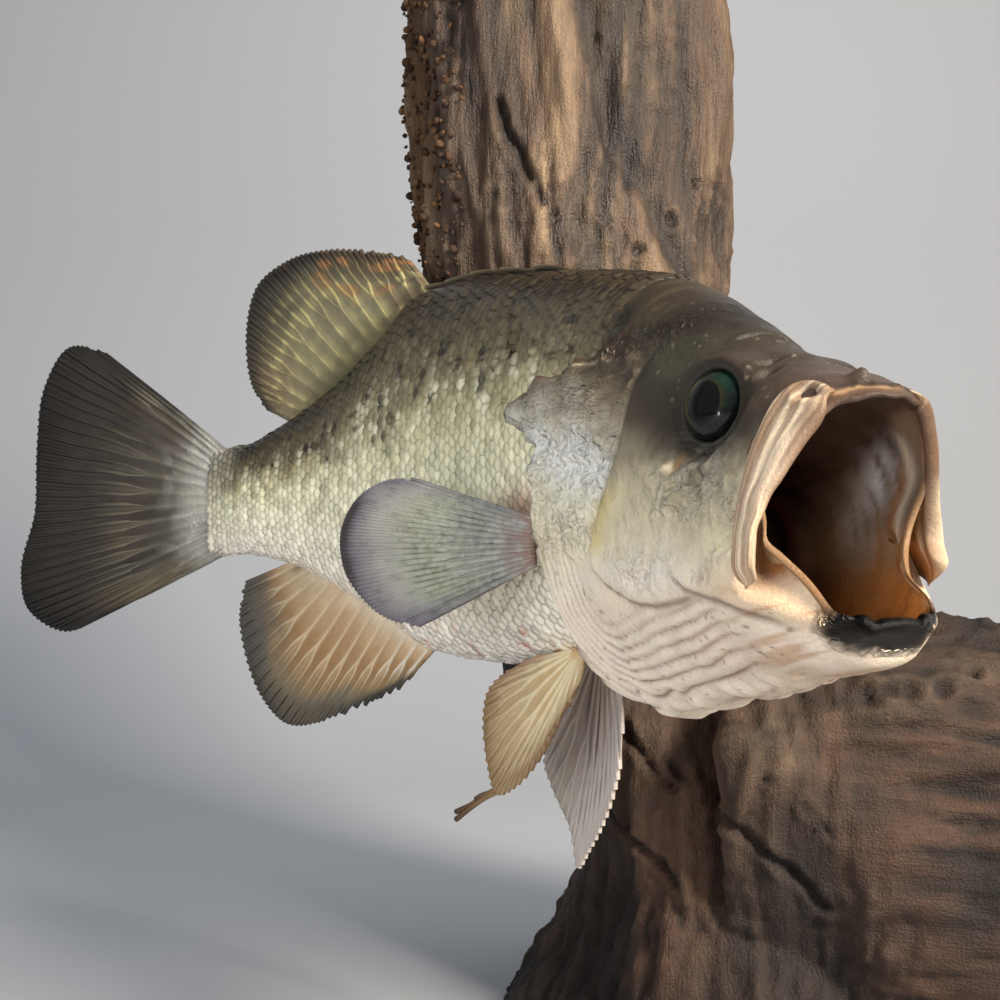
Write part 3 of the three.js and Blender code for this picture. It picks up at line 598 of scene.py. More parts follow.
paint = layer(paint, "d9d0ba", on_head * hollow * 0.6 * soft(-0.3, 0.4, noise(place, 4, 75, 2)))
paint = layer(paint, "f0e6d6", 0.7 * corner * soft(-0.5, 0.4, noise(place, 5, 85, 2)))
paint = layer(paint, "efd9b0", on_head * bump(np.hypot((s - 52) / 1.3, z + 8.5), 2.4) * soft(-0.5, 0.2, noise(place, 2, 76)))
paint = layer(paint, "c98a4e", on_head * bump(np.hypot(s - 48, z + 8), 1.8) * 0.6)
paint = layer(paint, "e0d2a6", 0.6 * on_head * bump((cheek_gap + 4) / 5, 1) * soft(-8, -18, z) * soft(-40, -32, z))
paint = layer(paint, "c6ad62", 0.55 * on_head * bump((cheek_gap + 1.5) / 3.5, 1) * soft(-8, -16, z) *
              soft(-34, -28, z))
paint = layer(paint, "d6b48c", 0.65 * on_head * soft(2, -4, jaw_gap) * soft(48, 26, s) * soft(-28, -40, z))
paint = layer(paint, "d9b7a0", 0.5 * on_head * bump((s - 40) / 18, 1) * bump((z + 56) / 8, 1))
streak = noise(np.stack([s * 0.08, y * 0, z + 0.25 * s], -1), 1.7, 77, 2)
paint = layer(paint, "a8733f", 0.55 * on_head * soft(0.1, 0.7, streak) * soft(42, 16, s) * soft(-36, -44, z))
# Painted shade and highlight on the throat pleats: brown lines darken the valleys between them and the crests are
# painted lighter, over the cream and brown of the dried skin.
pleat_crease_shade = is_throat * bump(pleats, 0.26)
paint = layer(paint, "6b4526", 0.85 * pleat_crease_shade * (0.75 + 0.5 * noise(place, 9, 78)))
paint = layer(paint, "efe2cc", 0.5 * is_throat * soft(0.5, 0.95, pleats))
# Painted shade: dark brown lines in the groove of the jaw fold and just under the raised edge of the cheek lobe, over
# the skin's own brown there.
paint = layer(paint, "5c3d24", 0.7 * on_head * bump(jaw_gap, 0.9) * soft(0.1, 0.3, jaw_along) *
              soft(0.95, 0.8, jaw_along))
paint = layer(paint, "6a4a2c", 0.75 * on_head * bump(lobe_gap - 0.7, 0.9) * soft(0.05, 0.2, lobe_along) *
              soft(0.95, 0.8, lobe_along))
# Painted shade: dark notches and a dark line in the groove along the edge of the cheek bone.
notch_shade = soft(0.1, 0.6, noise(place, 2.2, 79)) * bump(cheek_gap - 0.6, 0.8) * soft(0.3, 0.5, cheek_along)
paint = layer(paint, "2e2418", 0.8 * on_head * notch_shade)
paint = layer(paint, "54432e", 0.5 * on_head * bump(cheek_gap - 0.7, 0.7) * soft(0.3, 0.5, cheek_along))
freckle = soft(0.62, 0.8, noise(place, 1.6, 80)) * soft(-20, -45, z)
paint = layer(paint, "6b3f26", 0.6 * on_head * freckle)
# A dark line along the free edge of the gill cover: partly the dried edge's own brown, partly painted shade where the
# edge turns under.
edge_dark_and_shade = bump(gill - s, 1.3) * free_edge * np.maximum(on_head, 0) + (
    np.arange(len(s))[:, None] == TUCKED.start) * free_edge
paint = layer(paint, "4c3320", 0.8 * edge_dark_and_shade * (0.7 + 0.5 * noise(place, 4, 81)))
bare_edge = on_head * free_edge * bump(gill - s - 3.0 + noise(place, 5, 83), 1.3) * soft(10, 18, fold_net) * soft(38, 28, fold_net)
paint = layer(paint, "b3a888", 0.7 * bare_edge * soft(-0.5, 0.2, noise(place, 3, 84)))
# Painted shade: the two nostril pits are painted near black.
paint = layer(paint, "17120d", 0.8 * on_head * bump(np.hypot(s - 29, z - 13.5), 1.2))
paint = layer(paint, "17120d", 0.8 * on_head * bump(np.hypot(s - 33.5, z - 17), 1.0))
# Painted shade: the rings tucked under the gill cover's free edge are darkened.
tucked = np.zeros(s.shape)
tucked[TUCKED.start + 1:TUCKED.stop] = 1
paint = layer(paint, "3a2a1c", 0.75 * tucked * free_edge)
# Painted shade: the skin cracks are painted near black.
paint = layer(paint, "15100b", 0.95 * crack)

# %% Paint the eye rings, lips and the inside of the mouth
# Painted shade: a dark ring where the lid meets the glass, and dark lines in the lid creases below the eye.
paint = layer(paint, "100e0b", 0.85 * bump(eye_distance - 9.0, 0.9))
paint = layer(paint, "1b1813", 0.7 * (bump(eye_distance - 11.0, 0.5) + bump(eye_distance - 12.6, 0.5)) *
              soft(12, 2, z))
paint = layer(paint, "3b4036", 0.5 * bump(eye_distance - 10.2, 0.5))

deep = from_rim
lining = graded(fold_net + 10 * noise(place, 12, 91, 2), (-90, "75431f"), (-60, "9a5f2e"), (-40, "ab7038"),
                (-20, "a3743f"), (-4, "8d7350"), (12, "857a6a"), (38, "6d6358"), (52, "46362b"), (90, "3a2b22"))
lining = layer(lining, "ced3d3", 0.9 * bump((deep - 24) / 11, 1) * bump((fold_net - 20) / 22, 1) *
               soft(-0.7, 0.3, noise(place * [1, 0.5, 0.2], 2.4, 92, 2)))
lining = layer(lining, "d6843c", 0.75 * soft(2, -30, fold_net) * soft(34, 8, deep) *
               soft(-0.4, 0.7, noise(place * [0.3, 1, 1], 4, 93, 2)))
hollow_line = deep - 4.5 - 0.17 * (fold_net + 5) + 0.8 * noise(place, 6, 86)
plate_band = far_inside * soft(-16, -2, fold_net) * soft(66, 46, fold_net)
lining = layer(lining, "9a6a40", 0.75 * plate_band * soft(0, 2, hollow_line) * soft(9, 4, hollow_line) * soft(38, 14, fold_net))
lining = layer(lining, "d5c3a4", 0.8 * plate_band * bump(hollow_line, 1.6) * soft(54, 34, fold_net))
lining = layer(lining, "7a5c44", 0.7 * plate_band * soft(-1.5, -4, hollow_line))
# Painted shade: deeper than about 32 mm the lining is darkened to near black, as the inside of the cavity gets little
# light.
lining = layer(lining, "120806", 0.97 * soft(32, 60, deep))
lining = layer(lining, "4a1a14", 0.6 * arches * soft(0.2, 0.9, np.sin(s / 1.7)))
lining = layer(lining, "d9b283", 0.6 * soft(7, 1, deep) * soft(4, -6, fold_net) * soft(-0.5, 0.3, noise(place, 4, 98)))
paint = mix(paint, lining, on_mouth[..., None])

rim_paint = graded(fold_net + 5 * noise(place, 5, 99), (-90, "120e0b"), (-36, "16110d"), (-27, "5f4630"),
                   (-18, "84623f"), (0, "8b6c4c"), (30, "94785c"), (42, "6f5644"), (52, "4f3d31"), (90, "46362b"))
paint = mix(paint, rim_paint, (on_rim + on_mouth * soft(2, 0.5, deep))[..., None])
paint = layer(paint, "8a531f", 0.95 * np.clip(1.7 * pocket, 0, 1))
wobble = 1.4 * noise(place, 4, 95, 2)
black_lip = on_head * soft(7.5, 4, s + wobble) * soft(-39, -42, z + 0.6 * wobble) * (
    soft(-57.5, -54, z + wobble - 0.5 * s))
black_lip += (on_rim + on_mouth * soft(4.5, 2.5, deep)) * soft(-31, -42, fold_net + 3 * wobble)
paint = layer(paint, "0a0807", 0.98 * black_lip)
silver += BLACK_SHINE * np.clip(black_lip, 0, 1)
upper_lip = on_head * soft(42, 52, fold_net)
lip_wobble = from_rim + 0.6 * noise(place, 4, 96)
paint = layer(paint, "54402f", 0.92 * upper_lip * soft(2.6, 1.8, lip_wobble))
# Painted highlight: a tan line behind the upper lip, partly the lip's own tan, painted lighter on the near side as if
# lit.
paint = layer(paint, "a8865e", 0.7 * upper_lip * bump(lip_wobble - 2.6, 0.8) * soft(-9, 2, y))
paint = layer(paint, "2a1f18", 0.85 * upper_lip * bump(lip_wobble - 5.0, 1.3) * soft(-0.3, 0.2, noise(place, 3, 97)))
paint = layer(paint, "7d4a1e", 0.5 * on_head * bump((fold_net + 5) / 8, 1) * soft(5, 1, from_rim))
print("painted", paint.shape[0] * paint.shape[1], "places")

# %% [markdown]
# Varnished fish skin: a dielectric with an even coat of lacquer, so its shine is sharp while the skin below it
# is matt. Where the silver of the gill cover shows, the surface is partly metallic, like crumpled foil. Pores
# and fine wrinkles are about 0.4 mm, drawn here a little coarser so that they show.

# %% Varnished skin
def add(tree, kind, inputs=None, **settings):
    """Adds a node with its settings; inputs are values, or sockets to link from."""
    made = tree.nodes.new(kind)
    for name, value in settings.items():
        setattr(made, name, value)
    for key, value in (inputs or {}).items():
        if isinstance(value, bpy.types.NodeSocket):
            tree.links.new(value, made.inputs[key])
        else:
            made.inputs[key].default_value = value
    return made


def new_material(name):
    """An empty node material, its tree, its main shader and the Object coordinates."""
    material = bpy.data.materials.new(name)
    material.use_nodes = True
    tree = material.node_tree
    tree.nodes.clear()
    shader = add(tree, "ShaderNodeBsdfPrincipled")
    add(tree, "ShaderNodeOutputMaterial", {"Surface": shader.outputs[0]})
    coordinates = add(tree, "ShaderNodeTexCoord").outputs["Object"]
    return material, tree, shader, coordinates


FACET_MM = 2.6


def varnished(name, roughness, coat, grain_mm, bump_mm, speckle, metallic=0.8):
    """A varnished dried skin that takes its colour from the `paint` attribute and its foil from `silver`."""
    material, tree, shader, coordinates = new_material(name)
    paint = add(tree, "ShaderNodeAttribute", attribute_name="paint").outputs["Color"]
    silver = add(tree, "ShaderNodeAttribute", attribute_name="silver").outputs["Fac"]
    fine = add(tree, "ShaderNodeTexNoise", {"Vector": coordinates, "Scale": 1 / (grain_mm * MM), "Detail": 5,
                                            "Roughness": 0.65})
    broad = add(tree, "ShaderNodeTexNoise", {"Vector": coordinates, "Scale": 1 / (9 * grain_mm * MM), "Detail": 4})
    tone = add(tree, "ShaderNodeMath", {0: fine.outputs["Fac"], 1: speckle, 2: 1 - speckle / 2},
               operation="MULTIPLY_ADD")
    tone2 = add(tree, "ShaderNodeMath", {0: broad.outputs["Fac"], 1: 0.36, 2: 0.82}, operation="MULTIPLY_ADD")
    both = add(tree, "ShaderNodeMath", {0: tone.outputs[0], 1: tone2.outputs[0]}, operation="MULTIPLY")
    tinted = add(tree, "ShaderNodeVectorMath", {0: paint, "Scale": both.outputs[0]}, operation="SCALE")
    tree.links.new(tinted.outputs[0], shader.inputs["Base Color"])
    uneven = add(tree, "ShaderNodeMath", {0: broad.outputs["Fac"], 1: 0.3, 2: roughness - 0.15},
                 operation="MULTIPLY_ADD")
    rough = add(tree, "ShaderNodeMath", {0: silver, 1: -0.22, 2: uneven.outputs[0]}, operation="MULTIPLY_ADD")
    tree.links.new(rough.outputs[0], shader.inputs["Roughness"])
    foil = add(tree, "ShaderNodeMath", {0: silver, 1: metallic}, operation="MULTIPLY", use_clamp=True)
    tree.links.new(foil.outputs[0], shader.inputs["Metallic"])
    shader.inputs["IOR"].default_value = 1.45
    shader.inputs["Specular IOR Level"].default_value = 0.32
    shader.inputs["Coat Weight"].default_value = coat
    shader.inputs["Coat Roughness"].default_value = 0.18
    folds = add(tree, "ShaderNodeTexNoise", {"Vector": coordinates, "Scale": 1 / (FACET_MM * MM), "Detail": 3})
    folds.noise_type = "RIDGED_MULTIFRACTAL"
    folds.inputs["Offset"].default_value = 1
    not_lip = add(tree, "ShaderNodeMath", {0: BLACK_SHINE, 1: silver}, operation="SUBTRACT")
    crumpled = add(tree, "ShaderNodeMath", {0: not_lip.outputs[0], 1: silver}, operation="MULTIPLY")
    facets = add(tree, "ShaderNodeMath", {0: folds.outputs["Fac"], 1: crumpled.outputs[0]}, operation="MULTIPLY")
    grain = add(tree, "ShaderNodeMath", {0: fine.outputs["Fac"], 1: broad.outputs["Fac"]}, operation="ADD")
    height = add(tree, "ShaderNodeMath", {0: facets.outputs[0], 1: 1.6, 2: grain.outputs[0]},
                 operation="MULTIPLY_ADD")
    raised = add(tree, "ShaderNodeBump", {"Height": height.outputs[0], "Distance": bump_mm * MM,
                                          "Strength": 0.8})
    tree.links.new(raised.outputs[0], shader.inputs["Normal"])
    tree.links.new(raised.outputs[0], shader.inputs["Coat Normal"])
    return material


skin_material = varnished("varnished fish skin", roughness=0.44, coat=0.25, grain_mm=0.9, bump_mm=0.5,
                          speckle=0.5, metallic=0.42)


# %% Make the skin
def mesh_object(name, points_mm, faces, material, smooth=True):
    """An object from places in the frame, in millimetres, and faces."""
    mesh = bpy.data.meshes.new(name)
    mesh.from_pydata(np.asarray(points_mm) * MM, [], faces)
    mesh.polygons.foreach_set("use_smooth", np.full(len(mesh.polygons), smooth))
    mesh.materials.append(material)
    mesh.update()
    made = bpy.data.objects.new(name, mesh)
    bpy.context.scene.collection.objects.link(made)
    return made


def store_paint(made, linear, silvered=None):
    colours = np.ones((len(linear), 4), np.float32)
    colours[:, :3] = linear
    made.data.attributes.new("paint", "FLOAT_COLOR", "POINT").data.foreach_set("color", colours.ravel())
    if silvered is not None:
        shine = made.data.attributes.new("silver", "FLOAT", "POINT")
        shine.data.foreach_set("value", np.clip(silvered, 0, BLACK_SHINE).astype(np.float32))


def net_faces(ring_count, round_count, closed=True):
    """Quads of a net of rings, running round each ring."""
    i, j = np.meshgrid(np.arange(ring_count - 1), np.arange(round_count if closed else round_count - 1),
                       indexing="ij")
    a = i * round_count + j
    b = i * round_count + (j + 1) % round_count
    return np.stack([a, b, b + round_count, a + round_count], -1).reshape(-1, 4)


def outward(made):
    """Turns the faces of a closed mesh outwards if its volume comes out negative."""
    mesh = made.data
    mesh.calc_loop_triangles()
    corners = np.empty(len(mesh.loop_triangles) * 3, np.int32)
    mesh.loop_triangles.foreach_get("vertices", corners)
    points = np.empty(len(mesh.vertices) * 3, np.float32)
    mesh.vertices.foreach_get("co", points)
    a, b, c = np.moveaxis(points.reshape(-1, 3)[corners].reshape(-1, 3, 3), 1, 0)
    if np.einsum("ij,ij->i", a, np.cross(b, c)).sum() < 0:
        mesh.flip_normals()
    return made


def closed_net(name, net_mm, material, start, end):
    """A net of rings closed at both ends by a fan to a middle point."""
    ring_count, round_count = net_mm.shape[:2]
    faces = net_faces(ring_count, round_count).tolist()
    last = ring_count * round_count
    for j in range(round_count):
        after = (j + 1) % round_count
        faces.append([last, after, j])
        faces.append([last + 1, last - round_count + j, last - round_count + after])
    points = np.concatenate([net_mm.reshape(-1, 3), [start, end]])
    return outward(mesh_object(name, points, faces, material))


mouth_end = in_frame([THROAT_STATION + 2, 0, -36])
tail_end = in_frame([FLESH_LENGTH, 0, -2])
skin = closed_net("skin", in_frame(net), skin_material, mouth_end, tail_end)
flat_paint = paint.reshape(-1, 3)
store_paint(skin, np.concatenate([flat_paint, flat_paint[:1], flat_paint[-1:]]),
            np.concatenate([silver.ravel(), [0, 0]]))
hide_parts("head", "lower_jaw", "throat", "gill_cover_right", "gill_cover_left", "trunk", "tail_stalk")
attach(skin, "root")
print("skin:", len(skin.data.polygons), "faces")

# %% [markdown]
# The upper jaw plates (the maxillae) are long bones that frame the open mouth on each side: broad and hooked
# below, with a hole near the snout. Each is built as a cap folded over the rim of the mouth. Its section is
# one closed loop: back edge, outer face with two long grooves, round front, inner face, and home through
# the middle of the wall, where it isn't seen.

# %% Jaw plates
PLATE_TOP, PLATE_FOOT, PLATE_SECTIONS = 66.0, -14.0, 110
PLATE_THICKNESS = 1.7
plate_back = curve((-14, 21), (-11, 23), (-7, 23.8), (1, 23.2), (14, 21.6), (31, 20.2), (46, 19.3), (56, 18.2),
                   (60, 17), (64, 14.5), (68, 11))
plate_front = curve((-14, 20), (-11.5, 17.8), (-6, 17.4), (1, 17), (5.5, 15.2), (12, 12.6), (23, 9.6), (34, 7),
                    (45, 5.8), (60, 5.6), (68, 8.5))
plate_rise = curve((-14, 0.3), (-10.5, 1.4), (-4, 1.5), (30, 1.4), (44, 1.6), (54, 1.6), (61, 1.1), (68, 0.0))
plate_flare = curve((-14, 0.3), (-10, 1.2), (-4, 1.8), (8, 0.6), (16, 0))
pit_middle = head_section(np.array(10.5), np.array(54.0))
jaw_material = varnished("varnished dry jaw skin", roughness=0.44, coat=0.18, grain_mm=0.8, bump_mm=0.5,
                         speckle=0.5)


def jaw_plate(sign):
    at = np.linspace(PLATE_TOP, PLATE_FOOT, PLATE_SECTIONS)[:, None]
    lowest = 3 if sign > 0 else PLATE_FOOT
    over_rim = soft(lowest, lowest + 9, at) * (soft(52, 32, at) if sign > 0 else soft(64, 50, at))
    start = mix(plate_front(at), rim_setback(at) + 0.3, over_rim)
    w = np.concatenate([np.linspace(1, 0, 30), np.full(5, -1.0), np.linspace(0, 1, 18), np.full(4, -2.0)])
    outer = w >= 0
    outer[35:] = False
    inner = np.zeros(len(w), bool)
    inner[35:53] = True
    along = np.clip(w, 0, 1)[None, :]
    rise = plate_rise(at)
    long_place = np.stack([along * 9 + 0 * at, at / 26 + 0 * along, sign + 0 * (at + along)], -1)
    streak = noise(long_place, 1, 301, 3)

    outside_s = mix(start, plate_back(at), along)
    outside = head_section(outside_s, at + 0 * along)
    facing = np.cross(head_section(outside_s, at + 2) - head_section(outside_s, at - 2),
                      head_section(outside_s + 0.5, at + 0 * along) - head_section(outside_s - 0.5, at + 0 * along))
    facing /= np.linalg.norm(facing, axis=-1, keepdims=True)
    facing *= np.sign(facing[..., 1:2] + 1e-9)
    full = soft(PLATE_TOP, 52, at) * soft(PLATE_FOOT, PLATE_FOOT + 9, at)
    grooves = 0.5 * bump(along - 0.42, 0.08) + 0.45 * bump(along - 0.74, 0.07)
    height = rise * np.clip(1 - (1.05 * along) ** 5, 0, 1) ** 0.5 - grooves * full + 0.4 * streak * full
    height = height + plate_flare(at) * (1 - along) ** 1.4
    gap = np.linalg.norm((outside - pit_middle) * [0.55, 0.9, 0.9], axis=-1)
    height = height * (0.25 + 0.75 * soft(PLATE_FOOT, PLATE_FOOT + 8, at)) - 2.8 * bump(gap, 1.5)
    height = height + 0.4 * bump(gap - 3.2, 0.8)
    surface = outside + facing * height[..., None]

    reach = 8.0 if sign > 0 else mix(19.0, 3.0, soft(-2, 8, at))
    inside_s = start + reach * soft(PLATE_TOP + 2, 54, at) * along
    inside = lining_section(inside_s, at + 0 * along, start)
    towards = np.stack([0 * inside[..., 0], -inside[..., 1], -22 - inside[..., 2]], -1)
    towards /= np.linalg.norm(towards, axis=-1, keepdims=True)
    inner_height = 0.6 * rise * (1 - along**3) + 0.3 * streak * (1 - along) * full
    lined = inside + towards * inner_height[..., None]
    flap = outside + facing * (height - PLATE_THICKNESS * full - 0.3 * (1 - full))[..., None]
    inside = mix(flap, lined, over_rim[..., None])
    outside = surface

    section_mm = np.zeros((PLATE_SECTIONS, len(w), 3))
    section_mm[:, outer] = outside[:, outer]
    section_mm[:, inner] = inside[:, inner]
    front = np.linspace(0, 1, 7)[1:-1]
    front_out, front_in = outside[:, 29:30], inside[:, 35:36]
    section_mm[:, 30:35] = mix(front_out, front_in, ((1 - np.cos(np.pi * front)) / 2)[:, None])
    section_mm[:, 30:35, 0] -= mix(0.5, 1.1, over_rim) * np.sin(np.pi * front)
    home = np.linspace(0, 1, 6)[1:-1]
    section_mm[:, 53:] = mix(inside[:, 52:53], outside[:, 0:1], home[:, None])
    section_mm[..., 2] -= 1.8 * soft(46, 66, at) * soft(15, 3, section_mm[..., 0])
    section_mm *= [1, sign, 1]
    foot = section_mm[-1].mean(axis=0) + [0.5, 0, -1.0]
    top = section_mm[0].mean(axis=0)
    name = "jaw_plate_right" if sign > 0 else "jaw_plate_left"
    made = closed_net(name, in_frame(section_mm), jaw_material, in_frame(top), in_frame(foot))

    fibre = noise(long_place * [1.6, 1, 1], 1, 311, 3)
    outer_paint = graded(at + 9 * streak, (-16, "a88462"), (-8, "c4a584"), (2, "cfb69a"), (25, "ccb498"),
                         (42, "b89f83"), (56, "9c846b"), (66, "66503e"))
    if sign < 0:
        outer_paint = layer(outer_paint, "54402f", 0.85 * soft(0.6, 0.15, along))
    # Painted shade: the long grooves of the plate, and a thin line beside them, are darkened.
    groove_shade = np.clip(bump(along - 0.40, 0.05) + bump(along - 0.72, 0.05) + bump(along - 0.86, 0.03), 0, 1)
    outer_paint = layer(outer_paint, "7f5a38", 0.45 * groove_shade * full)
    outer_paint = layer(outer_paint, "ecd9b6", 0.6 * soft(0, 0.7, fibre))
    outer_paint = layer(outer_paint, "74522f", 0.5 * soft(0.0, -0.7, fibre))
    outer_paint = layer(outer_paint, "4a3220", 0.9 * bump(along - 1.0, 0.05))
    outer_paint = layer(outer_paint, "7c532c", 0.6 * bump(along - 0.03, 0.05) * soft(12, 30, at))
    outer_paint = layer(outer_paint, "6b4f3f", 0.9 * soft(0.28, 0.16, along + 0.04 * streak) * soft(22, 44, at) * over_rim)
    # Painted shade: the hole near the snout is painted near black.
    outer_paint = layer(outer_paint, "2a180e", 0.95 * bump(gap, 1.7))
    from_front = along * reach
    inner_paint = graded(from_front + 1.2 * fibre + 0 * at, (0, "5f4635"), (1.6, "78593f"), (3.2, "c9b394"),
                         (5.0, "a47c52"), (8, "9a6a3c"), (14, "8a5a2e"), (19, "3c2415"))
    inner_paint = layer(inner_paint, "54402f", 0.85 * soft(24, 50, at))
    inner_paint = layer(inner_paint, "8a5a30", 0.5 * soft(2, -12, at))
    inner_paint = layer(inner_paint, "3c2415", 0.7 * (1 - over_rim) * soft(0.25, 0.8, along))
    shades = np.where(outer[None, :, None], outer_paint, inner_paint)
    shades[:, 30:35] = mix(outer_paint[:, 29:30], inner_paint[:, 35:36], front[:, None])
    shades = shades.reshape(-1, 3)
    store_paint(made, np.concatenate([shades, shades[:1], shades[-1:]]), np.zeros(len(shades) + 2))
    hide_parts("maxilla_right" if sign > 0 else "maxilla_left")
    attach(made, "root")
    return made


jaw_plates = [jaw_plate(sign) for sign in (1, -1)]
print("jaw plates:", [len(made.data.polygons) for made in jaw_plates], "faces")

# %% [markdown]
# Taxidermists set glass eyes: the iris and pupil are painted on the back of a clear lens. A bass has a large
# dark pupil, a thin gold ring round it and a dark green iris. From outside only a glossy coat over the
# paint shows, so each eye is one smooth lens shape, painted by angle and radius, under a sharp clear coat.

# %% Glass eyes
GLASS_RADIUS = EYE_RADIUS - 0.4
PUPIL = 0.60


def glass_eye(sign):
    rings, count = 48, 96
    polar = np.linspace(0, np.pi, rings + 2)[1:-1, None]
    round_angle = np.arange(count)[None, :] * 2 * np.pi / count
    unit = np.stack([np.sin(polar) * np.cos(round_angle), sign * np.cos(polar) + 0 * round_angle,
                     np.sin(polar) * np.sin(round_angle)], -1)
    ball = unit * [GLASS_RADIUS, EYE_BULGE, GLASS_RADIUS]
    centre, turn = eye_axes[sign]
    placed = in_frame(ball @ turn.T + centre)
    ends = [in_frame(np.array([0, y, 0]) @ turn.T + centre) for y in (sign * EYE_BULGE, -sign * EYE_BULGE)]
    name = "glass_eye_right" if sign > 0 else "glass_eye_left"
    made = closed_net(name, placed, glass_material, *ends)
    x, y, z = np.moveaxis(unit, -1, 0)
    wide = np.hypot(x + 0.04, z) + 0.035 * bump(np.arctan2(z, -x), 0.5)
    around_eye = np.degrees(np.arctan2(z, x))
    streaks = noise(np.stack([around_eye / 9, wide * 3, 0 * x], -1), 1, 321, 2)
    paint = graded(wide, (0, "030303"), (PUPIL, "050504"), (PUPIL + 0.03, "2b2612"), (PUPIL + 0.08, "171a10"),
                   (0.78, "0c1410"), (0.9, "090f0c"), (1, "070908"))
    paint = layer(paint, "070b09", 0.8 * soft(0.0, 0.7, -z) * soft(PUPIL, PUPIL + 0.05, wide))
    paint = layer(paint, "0c2b1f", 0.7 * soft(0.0, 0.7, z) * soft(0.3, -0.6, x) * soft(PUPIL, 0.72, wide))
    paint = layer(paint, "8a7c3e", 0.85 * bump(wide - 0.74, 0.05) * soft(0.1, 0.6, x) * soft(-0.6, 0.1, z))
    paint = layer(paint, "1c281c", 0.4 * soft(0, 0.8, streaks) * soft(PUPIL, PUPIL + 0.05, wide))
    paint = np.where((y * sign < 0)[..., None], to_linear("0a0a0a"), paint).reshape(-1, 3)
    store_paint(made, np.concatenate([paint, paint[:1], paint[-1:]]))
    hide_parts("eye_right" if sign > 0 else "eye_left")
    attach(made, "root")
    return made


glass_material, tree, shader, coordinates = new_material("painted glass eye")
tree.links.new(add(tree, "ShaderNodeAttribute", attribute_name="paint").outputs["Color"],
               shader.inputs["Base Color"])
shader.inputs["Roughness"].default_value = 0.3
shader.inputs["Specular IOR Level"].default_value = 0.1
shader.inputs["Coat Weight"].default_value = 0.6
shader.inputs["Coat Roughness"].default_value = 0.02
shader.inputs["Coat IOR"].default_value = 1.52
eyes = [glass_eye(sign) for sign in (1, -1)]
print("glass eyes:", [len(made.data.polygons) for made in eyes], "faces")

# %% [markdown]
# A fin is a fan of bony rays with a thin dried membrane stretched between them. Each soft ray splits in two
# and then in four on its way out, and is built of short segments, so that it looks beaded. Every fin here is
# one surface, read by t (0 to 1 across the rays) and r (0 at the root, 1 at the margin): the membrane is a thin
# closed plate on it, and the rays are lines on it that Geometry Nodes turn into beaded tubes.

# %% A Geometry Nodes workbench
def node_group(name, **sizes):
    """A Geometry Nodes tree with a geometry socket each way and named number inputs; returns the inputs too."""
    tree = bpy.data.node_groups.new(name, "GeometryNodeTree")
    tree.interface.new_socket("Geometry", in_out="INPUT", socket_type="NodeSocketGeometry")
    for title, value in sizes.items():
        kind = "NodeSocketInt" if isinstance(value, int) else "NodeSocketFloat"
        tree.interface.new_socket(title, in_out="INPUT", socket_type=kind).default_value = value
    tree.interface.new_socket("Geometry", in_out="OUTPUT", socket_type="NodeSocketGeometry")
    return tree, add(tree, "NodeGroupInput").outputs


def finish_tree(tree, geometry, material):
    """Ends a tree: instances become real mesh and take their material."""
    real = add(tree, "GeometryNodeRealizeInstances", {"Geometry": geometry}).outputs[0]
    coated = add(tree, "GeometryNodeSetMaterial", {"Geometry": real, "Material": material}).outputs[0]
    add(tree, "NodeGroupOutput", {"Geometry": coated})


def grow(name, source, tree, **sizes):
    """Runs a tree on a source object and keeps the result as a plain mesh; the source goes."""
    modifier = source.modifiers.new("grow", "NODES")
    modifier.node_group = tree
    for socket in tree.interface.items_tree:
        if socket.in_out == "INPUT" and socket.name in sizes:
            modifier[socket.identifier] = sizes[socket.name]
    graph = bpy.context.evaluated_depsgraph_get()
    mesh = bpy.data.meshes.new_from_object(source.evaluated_get(graph), preserve_all_data_layers=True,
                                           depsgraph=graph)
    mesh.name = name
    made = bpy.data.objects.new(name, mesh)
    bpy.context.scene.collection.objects.link(made)
    source.modifiers.remove(modifier)
    bpy.data.objects.remove(source)
    return made


fin_material = varnished("dried fin membrane", roughness=0.40, coat=0.30, grain_mm=0.7, bump_mm=0.25,
                         speckle=0.5, metallic=0.6)

ray_tree, ray_inputs = node_group("fin rays", Sides=5, Thickness=1.0)
ray_lines = add(ray_tree, "GeometryNodeMeshToCurve", {"Mesh": ray_inputs["Geometry"]}).outputs[0]
thickness = add(ray_tree, "GeometryNodeInputNamedAttribute", {"Name": "thickness"}, data_type="FLOAT")
scaled = add(ray_tree, "ShaderNodeMath", {0: thickness.outputs["Attribute"], 1: ray_inputs["Thickness"]},
             operation="MULTIPLY")
swollen = add(ray_tree, "GeometryNodeSetCurveRadius", {"Curve": ray_lines, "Radius": scaled.outputs[0]})
profile = add(ray_tree, "GeometryNodeCurvePrimitiveCircle", {"Resolution": ray_inputs["Sides"], "Radius": MM})
tubes = add(ray_tree, "GeometryNodeCurveToMesh", {"Curve": swollen.outputs[0], "Profile Curve": profile.outputs[0],
                                                  "Fill Caps": True})
finish_tree(ray_tree, tubes.outputs[0], fin_material)
print("nodes in the ray tree:", len(ray_tree.nodes))


